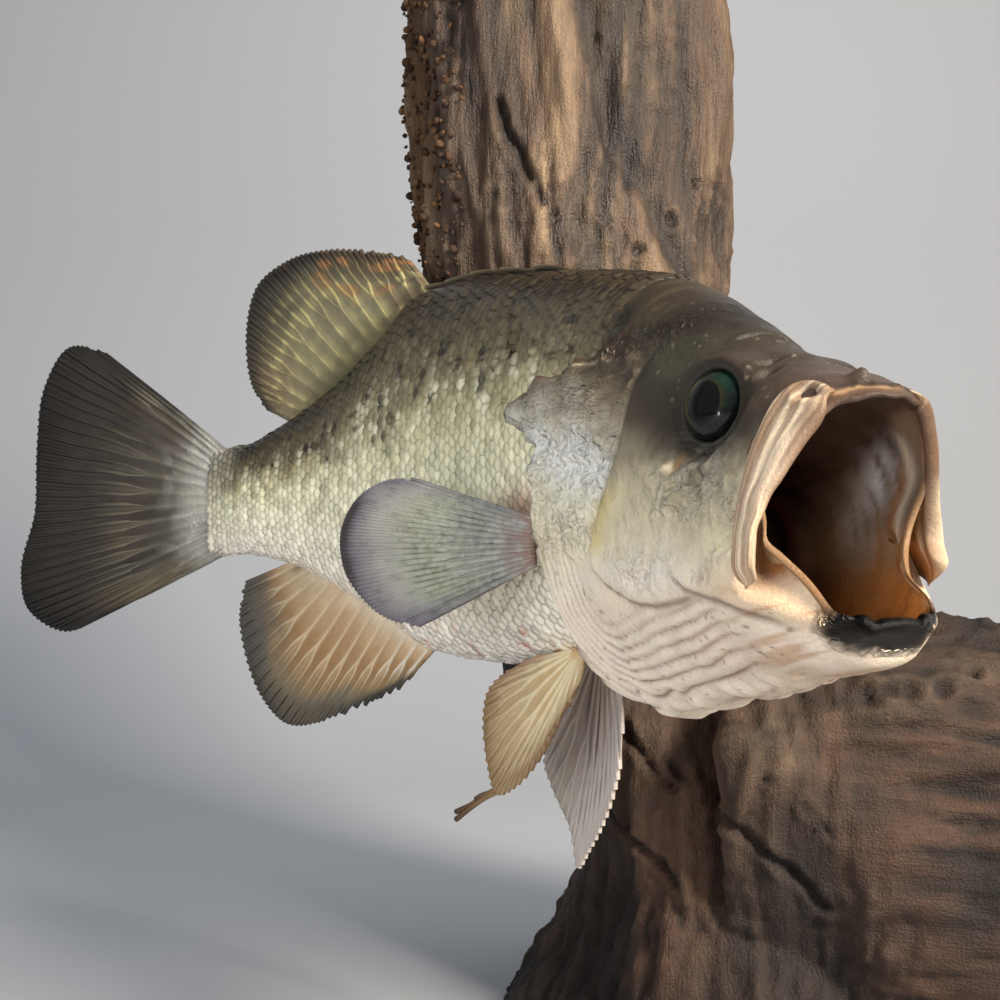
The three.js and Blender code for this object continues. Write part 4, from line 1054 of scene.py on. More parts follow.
# %% Margins and plates
def margin_curve(points):
    """A smooth curve through a few margin points (s, y, z), read by t from 0 to 1."""
    points = np.array(points, float)
    padded = np.concatenate([[2 * points[0] - points[1]], points, [2 * points[-1] - points[-2]]])

    def read(t):
        at = np.clip(t, 0, 1) * (len(points) - 1)
        i = np.clip(np.floor(at).astype(int), 0, len(points) - 2)
        w = (at - i)[..., None]
        p0, p1, p2, p3 = (padded[i + k] for k in range(4))
        d0, d1, d2 = (np.sqrt(np.linalg.norm(b - a, axis=-1, keepdims=True))
                      for a, b in ((p0, p1), (p1, p2), (p2, p3)))
        m1 = d1 * ((p1 - p0) / d0 - (p2 - p0) / (d0 + d1)) + (p2 - p1)
        m2 = (p2 - p1) - d1 * ((p3 - p1) / (d1 + d2) - (p3 - p2) / d2)
        return p1 + w * m1 + w**2 * (3 * (p2 - p1) - 2 * m1 - m2) + w**3 * (2 * (p1 - p2) + m1 + m2)

    return read


def plate(name, front, back, material):
    """A closed thin plate between two equal nets of points."""
    across, along = front.shape[1], front.shape[0]
    under = along * across
    top_faces = net_faces(along, across, closed=False)
    border = np.concatenate([np.arange(across - 1), np.arange(along - 1) * across + across - 1,
                             (along - 1) * across + np.arange(across - 1, 0, -1),
                             np.arange(along - 1, 0, -1) * across])
    after = np.roll(border, -1)
    strip = np.stack([after, border, under + border, under + after], -1)
    faces = np.concatenate([top_faces, under + top_faces[:, ::-1], strip]).tolist()
    return outward(mesh_object(name, np.concatenate([front.reshape(-1, 3), back.reshape(-1, 3)]), faces, material))


def surface_normal(place_at, t, r, step=0.008):
    """Unit normals of a surface place_at(t, r) in the frame, from four places close by."""
    across = place_at(np.minimum(t + step, 1), r) - place_at(np.maximum(t - step, 0), r)
    along = place_at(t, np.minimum(r + step, 1)) - place_at(t, np.maximum(r - step, 0))
    out = np.cross(across, along)
    return out / np.maximum(np.linalg.norm(out, axis=-1, keepdims=True), 1e-9)


print("the middle of a test margin:", margin_curve([[0, 0, 0], [1, 0, 1], [2, 0, 0]])(np.array([0.5])))

# %% Fin surfaces, as in the solids
ROOT_SINK = 0.8
half_wave = lambda t: np.sin(np.pi * t)


def median_fin(root_s, root_z, margin, sway):
    """A fin on the middle plane, with a slight side wave."""

    def place_at(t, r):
        t, r = np.broadcast_arrays(t, r)
        to = margin(t)
        s, z = root_s(t), root_z(t)
        return in_frame(np.stack([mix(s, to[..., 0], r), sway * half_wave(r / 2) * np.sin(5 * t),
                                  mix(z, to[..., 2], r)], -1))

    return place_at


def paired_fin(side, root, margin, bulge):
    """A fan from a short root to a margin, hollowed along its normal."""
    root = np.array(root, float)

    def place_at(t, r):
        t, r = np.broadcast_arrays(t, r)
        flip = np.array([1, side, 1])
        start = in_frame(mix(root[0], root[1], t[..., None]) * flip)
        end = in_frame(margin(t) * flip)
        hollow = FISH_TURN @ np.array([0, side * bulge, 0])
        return mix(start, end, r[..., None]) + (half_wave(r) * half_wave(t))[..., None] * hollow

    return place_at


tail_surface = median_fin(lambda t: 362 + 0 * t, lambda t: mix(21.0, -25.5, t), margin_curve(
    [[424, 0, 69], [441, 0, 71], [452, 0, 52], [455, 0, 24], [456, 0, -6], [462, 0, -31], [459, 0, -50],
     [443, 0, -60], [424, 0, -52]]), 2.2)
dorsal_surface = median_fin(lambda t: mix(238, 322, t), lambda t: trunk_top(mix(238, 322, t)) - 2.2, margin_curve(
    [[254, 0, 92], [272, 0, 97.5], [298, 0, 102], [322, 0, 101.5], [343, 0, 93], [351, 0, 74], [350, 0, 52],
     [341, 0, 38]]), 3)
anal_surface = median_fin(lambda t: mix(238, 320, t), lambda t: trunk_bottom(mix(238, 320, t)) + 2.2, margin_curve(
    [[256, 0, -79], [280, 0, -88], [308, 0, -97], [329, 0, -99], [343, 0, -85], [351, 0, -58], [348, 0, -38]]), -3)
PECTORAL_ROOT = [[129, 35.4, -18], [131, 34.6, -33]]
pectoral_right = paired_fin(1, PECTORAL_ROOT, margin_curve(
    [[176, 56, -4], [193, 62, -5], [204, 66, -11], [209, 69, -22], [205, 69, -35], [189, 66, -47],
     [168, 60, -52]]), 3)
pectoral_left = paired_fin(-1, PECTORAL_ROOT, margin_curve(
    [[152, 66, -3], [158, 78, -2], [161, 87, -7], [161, 92, -17], [158, 90, -29], [152, 81, -39],
     [146, 68, -44]]), 3)
pelvic_right = paired_fin(1, [[150, 9, -61], [140, 12, -60.5]], margin_curve(
    [[168, 13, -63], [182, 15, -69], [192, 17, -77], [193.5, 18, -88], [188.5, 20, -102], [183, 20.5, -110.5],
     [172, 20.2, -107], [158, 19, -96], [148, 18, -84], [140, 15, -72]]), 1)
pelvic_left = paired_fin(-1, [[162, 6, -63], [150, 6, -64]], margin_curve(
    [[172, 8, -78], [183.5, 9, -92], [192.5, 10, -103.5], [189, 10.8, -114], [181, 11.5, -127], [178.5, 12.5, -140],
     [172, 12, -133], [164.5, 11.5, -123.5], [157, 10.5, -111.5], [151.5, 9.5, -98], [148, 7.5, -78]]), 1)


# %% Fin colours
def fin_noise(t, r, fine_t, fine_r, seed):
    t, r = np.broadcast_arrays(t, r)
    return noise(np.stack([t * fine_t, r * fine_r, 0 * t], -1), 1, seed, 2)


def tail_colour(t, r, ray):
    cloud, streak = fin_noise(t, r, 6, 4, 101), fin_noise(t, r, 34, 2, 102)
    paint = graded(r + 0.05 * cloud, (0, "a8a28c"), (0.1, "908d80"), (0.28, "433f38"), (0.55, "28241f"),
                   (0.78, "211e1a"), (0.93, "151310"), (1, "100e0c"))
    paint = layer(paint, "6b6048", 0.5 * soft(0.72, 0.9, t) * soft(0.85, 0.5, r))
    paint = layer(paint, "3a3027", 0.5 * soft(0, 0.6, cloud) * soft(0.9, 0.6, r))
    paint = layer(paint, "1c1a17", 0.5 * soft(0.1, 0.7, streak) * soft(0.1, 0.3, r))
    paint = layer(paint, "8d8873", ray * 0.55 * soft(0.8, 0.2, r) * soft(-0.5, 0.4, streak + 0.5 * cloud))
    paint = layer(paint, "191714", 0.85 * soft(0.03, 0.0, t))
    # Near-white over the root of the tail, strongest on the rays: partly the base's own silver, partly painted
    # highlight on the rays.
    silver = soft(0.35, 0.08, r) * (0.25 + 0.4 * ray) + 0.25 * soft(0.35, 0.8, fin_noise(t, r, 14, 12, 103)) * (
        soft(0.8, 0.3, r))
    return layer(paint, "d9d9cf", 0.9 * silver * soft(0.42, 0.2, r)), silver


def dorsal_colour(t, r, ray):
    cloud, spots = fin_noise(t, r, 7, 5, 111), fin_noise(t, r, 27, 13, 112)
    paint = graded(r + 0.07 * cloud, (0, "454130"), (0.12, "6a6445"), (0.3, "8a8262"), (0.62, "7f785a"),
                   (0.8, "57513f"), (0.92, "3d3931"), (1, "2f2b25"))
    paint = layer(paint, "8c7657", 0.6 * bump((t - 0.86) / 0.14, 1) * bump((r - 0.55) / 0.3, 1))
    paint = layer(paint, "5c4c3a", 0.7 * soft(0.36, 0.1, t + 0.1 * cloud))
    paint = layer(paint, "b3a974", (0.55 * ray + 0.2) * soft(-0.1, 0.5, spots) * soft(0.08, 0.2, r) *
                  soft(0.85, 0.6, r))
    paint = layer(paint, "a9794a", 0.55 * soft(0.35, 0.7, fin_noise(t, r, 13, 7, 113)) *
                  soft(0.5, 0.3, t) * soft(0.3, 0.5, r))
    paint = layer(paint, "38342e", 0.6 * soft(0.03, 0.0, 1 - r) + 0.6 * soft(0.9, 1, t) * soft(0.2, 0.5, r))
    return paint, 0.12 * ray * soft(0, 0.6, spots)


def anal_colour(t, r, ray):
    cloud = fin_noise(t, r, 6, 4, 121)
    paint = graded(r + 0.08 * cloud, (0, "d8c8ac"), (0.2, "c0a078"), (0.45, "a07a4e"), (0.7, "8f7450"),
                   (0.85, "6c6250"), (0.94, "4a453c"), (1, "38342e"))
    paint = layer(paint, "e0cba2", ray * 0.75 * soft(0.9, 0.4, r))
    paint = layer(paint, "56524a", 0.8 * soft(0.62, 0.84, t + 0.1 * cloud) * soft(0.3, 0.75, r))
    paint = layer(paint, "b0a486", 0.5 * soft(0.6, 0.9, t) * soft(0.55, 0.2, r))
    paint = layer(paint, "39352f", 0.85 * soft(0.3, 0.12, t) * soft(0.7, 0.92, r + 0.06 * cloud))
    paint = layer(paint, "e8e2d2", 0.6 * soft(0.3, 0.1, t) * soft(0.75, 0.5, r) * ray)
    paint = layer(paint, "6a5236", 0.7 * bump((t - 0.93) / 0.03, 1) * bump((r - 0.12) / 0.1, 1))
    return paint, 0.08 * ray


def pectoral_colour(t, r, ray):
    cloud, grit = fin_noise(t, r, 5, 4, 131), fin_noise(t, r, 60, 60, 132)
    paint = graded(r + 0.05 * cloud, (0, "8d6f5e"), (0.09, "8f8076"), (0.2, "a09f92"), (0.5, "9fa188"),
                   (0.8, "95938a"), (0.96, "69646a"), (1, "3a3434"))
    edge_on = np.maximum(soft(0.16, 0.02, t), soft(0.84, 0.98, t))
    paint = layer(paint, "6e6a6e", 0.6 * edge_on * soft(0.05, 0.3, r))
    paint = layer(paint, "b9bbb0", 0.65 * ray * soft(0.8, 0.25, r) * soft(-0.5, 0.6, grit + 0.4 * cloud))
    paint = layer(paint, "3a3634", 0.35 * soft(0.35, 0.8, grit))
    paint = layer(paint, "3a3233", 0.7 * np.maximum(soft(0.012, 0.0, t), soft(0.988, 1.0, t)) * soft(0.2, 0.4, r))
    return paint, (0.12 + 0.25 * ray) * soft(0.1, 0.22, r) * soft(0.85, 0.4, r)


def pelvic_colour(t, r, ray):
    cloud = fin_noise(t, r, 7, 7, 141)
    paint = graded(r + 0.06 * cloud, (0, "d3ab74"), (0.15, "cfb37e"), (0.5, "c2a67a"), (0.85, "b29a72"),
                   (1, "8a6d48"))
    paint = layer(paint, "ecdcb2", ray * 0.8 * soft(0.9, 0.3, r))
    paint = layer(paint, "b98f7c", 0.4 * soft(0.35, 0.0, t) * soft(0.4, 0.8, r))
    paint = layer(paint, "7a5232", 0.7 * soft(0.6, 0.8, t) * soft(0.93, 0.99, r))
    paint = layer(paint, "a0602f", 0.4 * soft(0.7, 0.95, t) * soft(0.5, 0.2, r))
    return paint, 0 * r * t


def far_pelvic_colour(t, r, ray):
    cloud = fin_noise(t, r, 7, 6, 151)
    paint = graded(r + 0.05 * cloud, (0, "7f675d"), (0.2, "978579"), (0.6, "b0a296"), (0.9, "b8ab9c"), (1, "9f9484"))
    gaps = soft(0.1, 0.6, fin_noise(t, r, 11, 1.6, 152)) * (1 - ray)
    paint = layer(paint, "513a38", 0.75 * gaps * soft(0.7, 0.4, r))
    paint = layer(paint, "bdb3aa", 0.6 * ray)
    paint = layer(paint, "b9afa6", 0.4 * soft(0.74, 0.9, t))
    return paint, 0.1 * ray + 0 * r * t


# %% Make the blades and rays
def fin(name, place_at, rays, colour, thick=(2.2, 0.45), ray_radius=(0.75, 0.26), recede=0.012, tear=None,
        along=44, branch_at=(0.4, 0.7), ruffle=0.35):
    """A blade and its rays. thick is the membrane's thickness at the root and the margin, recede how far the
    margin draws back between ray tips, and tear(t) how far it is torn back, as shares of the fin's length."""
    across = rays * 8 + 1
    tears = tear or (lambda t: 0 * t)
    t = np.linspace(0, 1, across)[None, :]
    tips = rays * 4
    scallop = recede * (0.5 - 0.5 * np.cos(2 * np.pi * tips * t))
    reach = 1 - scallop - tears(t)
    r = np.linspace(0, 1, along)[:, None] ** 0.9 * reach
    middle = place_at(t, r)
    out = surface_normal(place_at, t + 0 * r, r)
    folds = mix(np.cos(2 * np.pi * rays * t), np.cos(4 * np.pi * rays * t), soft(*branch_at, r))
    folds = folds * ruffle * soft(0, 0.15, r) * soft(1.06, 0.88, r) + 0.5 * fin_noise(t, r, rays / 3, 3, 160) * soft(0.1, 0.5, r)
    half = mix(thick[0], thick[1], np.clip(r, 0, 1) ** 0.6) / 2
    blade = plate(name, middle + out * (folds + half)[..., None], middle + out * (folds - half)[..., None],
                  fin_material)
    on_ray = bump((t * rays) % 1 - 0.5, 0.16)
    paint, silver = colour(t, r, 0.5 * on_ray + 0 * r)
    store_paint(blade, np.tile(paint.reshape(-1, 3), (2, 1)), np.tile((silver + 0 * r).ravel(), 2))
    points, edges, widths, tints, shines = [], [], [], [], []
    for k in range(rays):
        centre = (k + 0.5) / rays
        plain = k in (0, rays - 1)
        for level, (start, end) in enumerate(((0.0, branch_at[0]), branch_at, (branch_at[1], 1.0))):
            if plain and level:
                continue
            for twig in range(2**level):
                line_r = np.linspace(start, 1.0 if plain else end, 26 if plain else (14, 12, 12)[level])
                aside = 0 * line_r
                for split in range(level):
                    sense = 1 if twig >> split & 1 else -1
                    aside = aside + sense * 0.25 / 2**split * soft(branch_at[split], branch_at[split] + 0.2, line_r)
                line_t = np.clip(centre + aside / rays, 0.002, 0.998)
                line_r = line_r * (1.004 - tears(line_t) * 0.7)
                fold_t = mix(np.cos(2 * np.pi * rays * line_t), np.cos(4 * np.pi * rays * line_t),
                             soft(*branch_at, line_r)) * ruffle * soft(0, 0.15, line_r) * soft(1.06, 0.88, line_r)
                fold_t = fold_t + 0.5 * fin_noise(line_t, line_r, rays / 3, 3, 160) * soft(0.1, 0.5, line_r)
                line_r = np.clip(line_r, 0, 1)
                line = place_at(line_t, line_r) + surface_normal(place_at, line_t, line_r) * fold_t[:, None]
                first = sum(len(part) for part in points)
                points.append(line)
                edges += [(first + i, first + i + 1) for i in range(len(line) - 1)]
                beads = 1 + 0.16 * (-1.0) ** np.arange(len(line))
                widths.append(mix(ray_radius[0], ray_radius[1], line_r**0.8) * beads * 0.8**level)
                tint, shine = colour(line_t, line_r, np.ones(len(line)))
                tints.append(tint)
                shines.append(shine + 0 * line_r)
    lines = bpy.data.meshes.new(name + "_lines")
    lines.from_pydata(np.concatenate(points) * MM, edges, [])
    drawn = bpy.data.objects.new(name + "_lines", lines)
    bpy.context.scene.collection.objects.link(drawn)
    store_paint(drawn, np.concatenate(tints), np.concatenate(shines))
    width = lines.attributes.new("thickness", "FLOAT", "POINT")
    width.data.foreach_set("value", np.concatenate(widths).astype(np.float32))
    ribs = grow(name + "_rays", drawn, ray_tree, Sides=6)
    ribs.data.polygons.foreach_set("use_smooth", np.ones(len(ribs.data.polygons), bool))
    for piece in (blade, ribs):
        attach(piece, "root")
    return blade, ribs


def frayed(front, depth, seed):
    """A margin torn back between t = 0 and `front`, with notches."""
    return lambda t: depth * soft(front, front * 0.4, t) * np.abs(noise(
        np.stack([t * 46, 0 * t, 0 * t], -1), 1, seed, 2)) ** 0.8


fin_list = {
    "tail_fin": fin("tail_fin_blade", tail_surface, 17, tail_colour, thick=(4.0, 0.6), ray_radius=(0.95, 0.3),
                    along=56, branch_at=(0.35, 0.62)),
    "soft_dorsal_fin": fin("soft_dorsal_blade", dorsal_surface, 14, dorsal_colour, thick=(2.4, 0.5),
                           recede=0.012, tear=frayed(0.3, 0.08, 171)),
    "anal_fin": fin("anal_blade", anal_surface, 13, anal_colour, thick=(2.4, 0.5), recede=0.03,
                    tear=frayed(0.42, 0.16, 172), ruffle=0.55),
    "pectoral_fin_right": fin("pectoral_blade_right", pectoral_right, 15, pectoral_colour, thick=(2.0, 0.4),
                              ray_radius=(0.5, 0.17), recede=0.004, branch_at=(0.3, 0.55), ruffle=0.2),
    "pectoral_fin_left": fin("pectoral_blade_left", pectoral_left, 15, pectoral_colour, thick=(2.0, 0.4),
                             ray_radius=(0.5, 0.17), recede=0.004, branch_at=(0.3, 0.55), ruffle=0.2),
    "pelvic_fin_right": fin("pelvic_blade_right", pelvic_right, 9, pelvic_colour, thick=(2.2, 0.5),
                            ray_radius=(0.5, 0.06), recede=0, ruffle=0.25),
    "pelvic_fin_left": fin("pelvic_blade_left", pelvic_left, 9, far_pelvic_colour, thick=(2.2, 0.5),
                           ray_radius=(0.5, 0.06), recede=0, ruffle=0.25),
}
for node, (blade, ribs) in fin_list.items():
    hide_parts(node)
print("fins:", {node: len(blade.data.polygons) + len(ribs.data.polygons) for node, (blade, ribs) in fin_list.items()})

# %% [markdown]
# The front dorsal fin of this mount was folded down before it dried, so its nine spines lie back along the
# ridge, one over the next, with the shrunken membrane between them as a low dark keel.

# %% Folded spines
SPINE_COUNT, SPINE_FIRST, SPINE_PITCH = 9, 160.0, 7.6
SPINE_LENGTH = 26.0
keel_height = curve((0, 0.3), (0.12, 2.6), (0.5, 4.2), (0.85, 3.0), (1, 0.4))


def keel_paint(share, seed):
    return layer(graded(share, (0, "2a241c"), (0.6, "3a3226"), (1, "453c2d")), "1d1812",
                 0.6 * soft(0, 0.7, noise(np.stack([share * 9, share * 0 + seed, share * 0], -1), 1, 181, 2)))


keel_s = np.linspace(152, 233, 120)
share = (keel_s - 152) / 81
crown = trunk_top(keel_s) - 1.4
keel_angle = np.linspace(0, 2 * np.pi, 16, endpoint=False)[None, :]
ragged = keel_height(share) * (0.85 + 0.25 * noise(np.stack([keel_s, 0 * keel_s, 0 * keel_s], -1), 3, 182, 2))
keel_y = (0.5 + 0.5 * keel_height(share) / 4.2)[:, None] * np.cos(keel_angle)
keel_z = crown[:, None] + (ragged * 0.5)[:, None] * (1 + np.sin(keel_angle)) - 0.8
keel_net = np.stack([keel_s[:, None] + 0 * keel_y, keel_y, keel_z], -1)
keel = closed_net("folded_dorsal_keel", in_frame(keel_net), fin_material, in_frame(keel_net[0].mean(axis=0)),
                  in_frame(keel_net[-1].mean(axis=0)))
keel_shade = keel_paint(0.5 + 0.5 * np.sin(keel_angle) + 0 * keel_y, 1).reshape(-1, 3)
store_paint(keel, np.concatenate([keel_shade, keel_shade[:1], keel_shade[-1:]]), np.zeros(len(keel_shade) + 2))

points, edges, widths, tints = [], [], [], []
for k in range(SPINE_COUNT):
    t = np.linspace(0, 1, 18)
    length = SPINE_LENGTH * (0.75 + 0.35 * math.sin(math.pi * (k + 1) / (SPINE_COUNT + 1)))
    s = SPINE_FIRST + k * SPINE_PITCH + length * t
    y = 0.7 * (-1) ** k * (0.3 + 0.7 * t) + 0 * s
    z = trunk_top(np.minimum(s, 236)) - 1.0 + 3.1 * np.sin(np.pi * t * 0.55) * (0.9 + 0.12 * (-1) ** k)
    edges += [(len(t) * k + i, len(t) * k + i + 1) for i in range(len(t) - 1)]
    points.append(in_frame(np.stack([s, y, z], -1)))
    widths.append(mix(1.05, 0.25, t))
    tints.append(graded(t, (0, "2b251c"), (0.6, "453d2e"), (1, "5f553f")))
spine_lines = bpy.data.meshes.new("spine_lines")
spine_lines.from_pydata(np.concatenate(points) * MM, edges, [])
drawn = bpy.data.objects.new("spine_lines", spine_lines)
bpy.context.scene.collection.objects.link(drawn)
store_paint(drawn, np.concatenate(tints), np.zeros(len(np.concatenate(tints))))
width = spine_lines.attributes.new("thickness", "FLOAT", "POINT")
width.data.foreach_set("value", np.concatenate(widths).astype(np.float32))
spines = grow("folded_spines", drawn, ray_tree, Sides=8)
spines.data.polygons.foreach_set("use_smooth", np.ones(len(spines.data.polygons), bool))
for piece in (keel, spines):
    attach(piece, "root")
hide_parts("spiny_dorsal_fin")
print("spines:", len(spines.data.polygons), "faces")

# %% Thread at the tip of the near pelvic fin
thread_paths = [
    [(182, 20.3, -109.5), (190, 21, -112.8), (197, 22, -116.4), (204, 23, -119.4)],
    [(183, 20.6, -110.3), (190, 21.4, -113.4), (197, 22.5, -117.6), (203.5, 23.4, -122)],
    [(180, 20.3, -107.5), (186, 20.8, -110.6), (191, 21.3, -112.4), (194, 21.6, -114)],
]
points, edges, widths, tints = [], [], [], []
for k, path in enumerate(thread_paths):
    t = np.linspace(0, 1, 16)
    points.append(in_frame(margin_curve(path)(t)))
    edges += [(len(t) * k + i, len(t) * k + i + 1) for i in range(len(t) - 1)]
    widths.append(mix(0.6, 0.14, t))
    tints.append(graded(t, (0, "8f7048"), (1, "4a3626")))
thread_lines = bpy.data.meshes.new("thread_lines")
thread_lines.from_pydata(np.concatenate(points) * MM, edges, [])
drawn = bpy.data.objects.new("thread_lines", thread_lines)
bpy.context.scene.collection.objects.link(drawn)
store_paint(drawn, np.concatenate(tints), np.zeros(len(np.concatenate(tints))))
width = thread_lines.attributes.new("thickness", "FLOAT", "POINT")
width.data.foreach_set("value", np.concatenate(widths).astype(np.float32))
threads = grow("pelvic_threads", drawn, ray_tree, Sides=6)
threads.data.polygons.foreach_set("use_smooth", np.ones(len(threads.data.polygons), bool))
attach(threads, "root")

# %% [markdown]
# Scales lie like roof tiles in slanting rows: each covers the front two thirds of the next. Geometry Nodes
# make one scale (a thin curved tile of a few dozen faces) and set it on every root point. The roots come
# from the trunk's own formula: columns down the body line, and in each column rows counted from the middle of
# the side, so that the odd places fall on the back and belly. Paint comes from the same markings as the skin.

# %% Where scales grow
SCALE_START, SCALE_END = 92.0, 366.0
row_height = curve((92, 3.6), (150, 4.3), (230, 4.3), (300, 3.7), (340, 3.2), (368, 2.9))
column_step = curve((92, 3.1), (150, 3.6), (230, 3.6), (300, 3.4), (340, 3.1), (368, 2.8))


def scale_roots(sign):
    """Root places of one side as stations and angles, column by column."""
    found_s, found_angle = [], []
    station, column = SCALE_START, 0
    fine = np.linspace(0, 90, 400)
    while station < SCALE_END:
        for way in (1, -1):
            ring = trunk_section(np.full(fine.shape, station), way * fine, 0)
            arc = np.concatenate([[0], np.cumsum(np.linalg.norm(np.diff(ring, axis=0), axis=1))])
            first = 0.25 if column % 2 else 0.75
            if way < 0:
                first = 1 - first
            rows_here = np.arange(first * row_height(station), arc[-1] - 0.3 * row_height(station),
                                  row_height(station))
            found_angle.append(way * np.interp(rows_here, arc, fine))
            found_s.append(np.full(len(rows_here), station))
        station += float(column_step(station))
        column += 1
    root_s, root_angle = np.concatenate(found_s), np.concatenate(found_angle)
    keep = root_s > gill_edge(root_angle) + mix(2.0, 11.0, soft(38, 52, root_angle))
    root_s, root_angle = root_s[keep], root_angle[keep]
    here = trunk_section(root_s, root_angle)
    torn = np.full(len(root_s), 99.0)
    if sign > 0:
        for line in SKIN_CRACKS:
            torn = np.minimum(torn, np.abs(near(line, here[:, 0], here[:, 2])[0]))
    worn = torn > 1.6
    return root_s[worn], np.where(sign > 0, root_angle[worn], 180 - root_angle[worn])


# %% The scale tree
scale_tree, scale_inputs = node_group("scales", Lift=0.58, Crown=0.55, Thickness=0.15)
tile = add(scale_tree, "GeometryNodeMeshGrid", {"Size X": 1.0, "Size Y": 1.0, "Vertices X": 4, "Vertices Y": 5})
own = add(scale_tree, "ShaderNodeSeparateXYZ", {0: add(scale_tree, "GeometryNodeInputPosition").outputs[0]})
back = add(scale_tree, "ShaderNodeMath", {0: own.outputs["X"], 1: 0.5}, operation="ADD").outputs[0]
side_square = add(scale_tree, "ShaderNodeMath", {0: own.outputs["Y"], 1: own.outputs["Y"]},
                  operation="MULTIPLY").outputs[0]
round_end = add(scale_tree, "ShaderNodeMath", {0: side_square, 1: -1.15, 2: 1.0},
                operation="MULTIPLY_ADD").outputs[0]
reach = add(scale_tree, "ShaderNodeMath", {0: back, 1: round_end}, operation="MULTIPLY").outputs[0]
raised_back = add(scale_tree, "ShaderNodeMath", {0: back, 1: scale_inputs["Lift"]}, operation="MULTIPLY").outputs[0]
lowered = add(scale_tree, "ShaderNodeMath", {0: side_square, 1: scale_inputs["Crown"]},
              operation="MULTIPLY").outputs[0]
level = add(scale_tree, "ShaderNodeMath", {0: raised_back, 1: lowered}, operation="SUBTRACT").outputs[0]
shaped = add(scale_tree, "ShaderNodeCombineXYZ", {"X": reach, "Y": own.outputs["Y"], "Z": level}).outputs[0]
top = add(scale_tree, "GeometryNodeSetPosition", {"Geometry": tile.outputs[0], "Position": shaped}).outputs[0]
tagged = add(scale_tree, "GeometryNodeStoreNamedAttribute", {"Geometry": top, "Name": "tile", "Value": shaped},
             data_type="FLOAT_VECTOR", domain="POINT").outputs[0]
down = add(scale_tree, "ShaderNodeMath", {0: scale_inputs["Thickness"], 1: -1.0}, operation="MULTIPLY").outputs[0]
sunk = add(scale_tree, "ShaderNodeCombineXYZ", {"Z": down}).outputs[0]
under = add(scale_tree, "GeometryNodeExtrudeMesh", {"Mesh": tagged, "Offset": sunk, "Offset Scale": 1.0,
                                                    "Individual": False}, mode="FACES").outputs[0]
turned_over = add(scale_tree, "GeometryNodeFlipFaces", {"Mesh": tagged}).outputs[0]
both_faces = add(scale_tree, "GeometryNodeJoinGeometry").inputs[0]
for part in (under, turned_over):
    scale_tree.links.new(part, both_faces)
closed = add(scale_tree, "GeometryNodeMergeByDistance", {"Geometry": both_faces.node.outputs[0],
                                                         "Distance": 0.001}).outputs[0]


def stored(tree, name, kind):
    return add(tree, "GeometryNodeInputNamedAttribute", {"Name": name}, data_type=kind).outputs["Attribute"]


roots = add(scale_tree, "GeometryNodeMeshToPoints", {"Mesh": scale_inputs["Geometry"]}).outputs[0]
laid = add(scale_tree, "GeometryNodeInstanceOnPoints", {
    "Points": roots, "Instance": closed, "Rotation": stored(scale_tree, "lie", "FLOAT_VECTOR"),
    "Scale": stored(scale_tree, "size", "FLOAT_VECTOR")}).outputs[0]
scale_material = varnished("varnished scales", roughness=0.36, coat=0.30, grain_mm=0.5, bump_mm=0.15, speckle=0.4)
finish_tree(scale_tree, laid, scale_material)


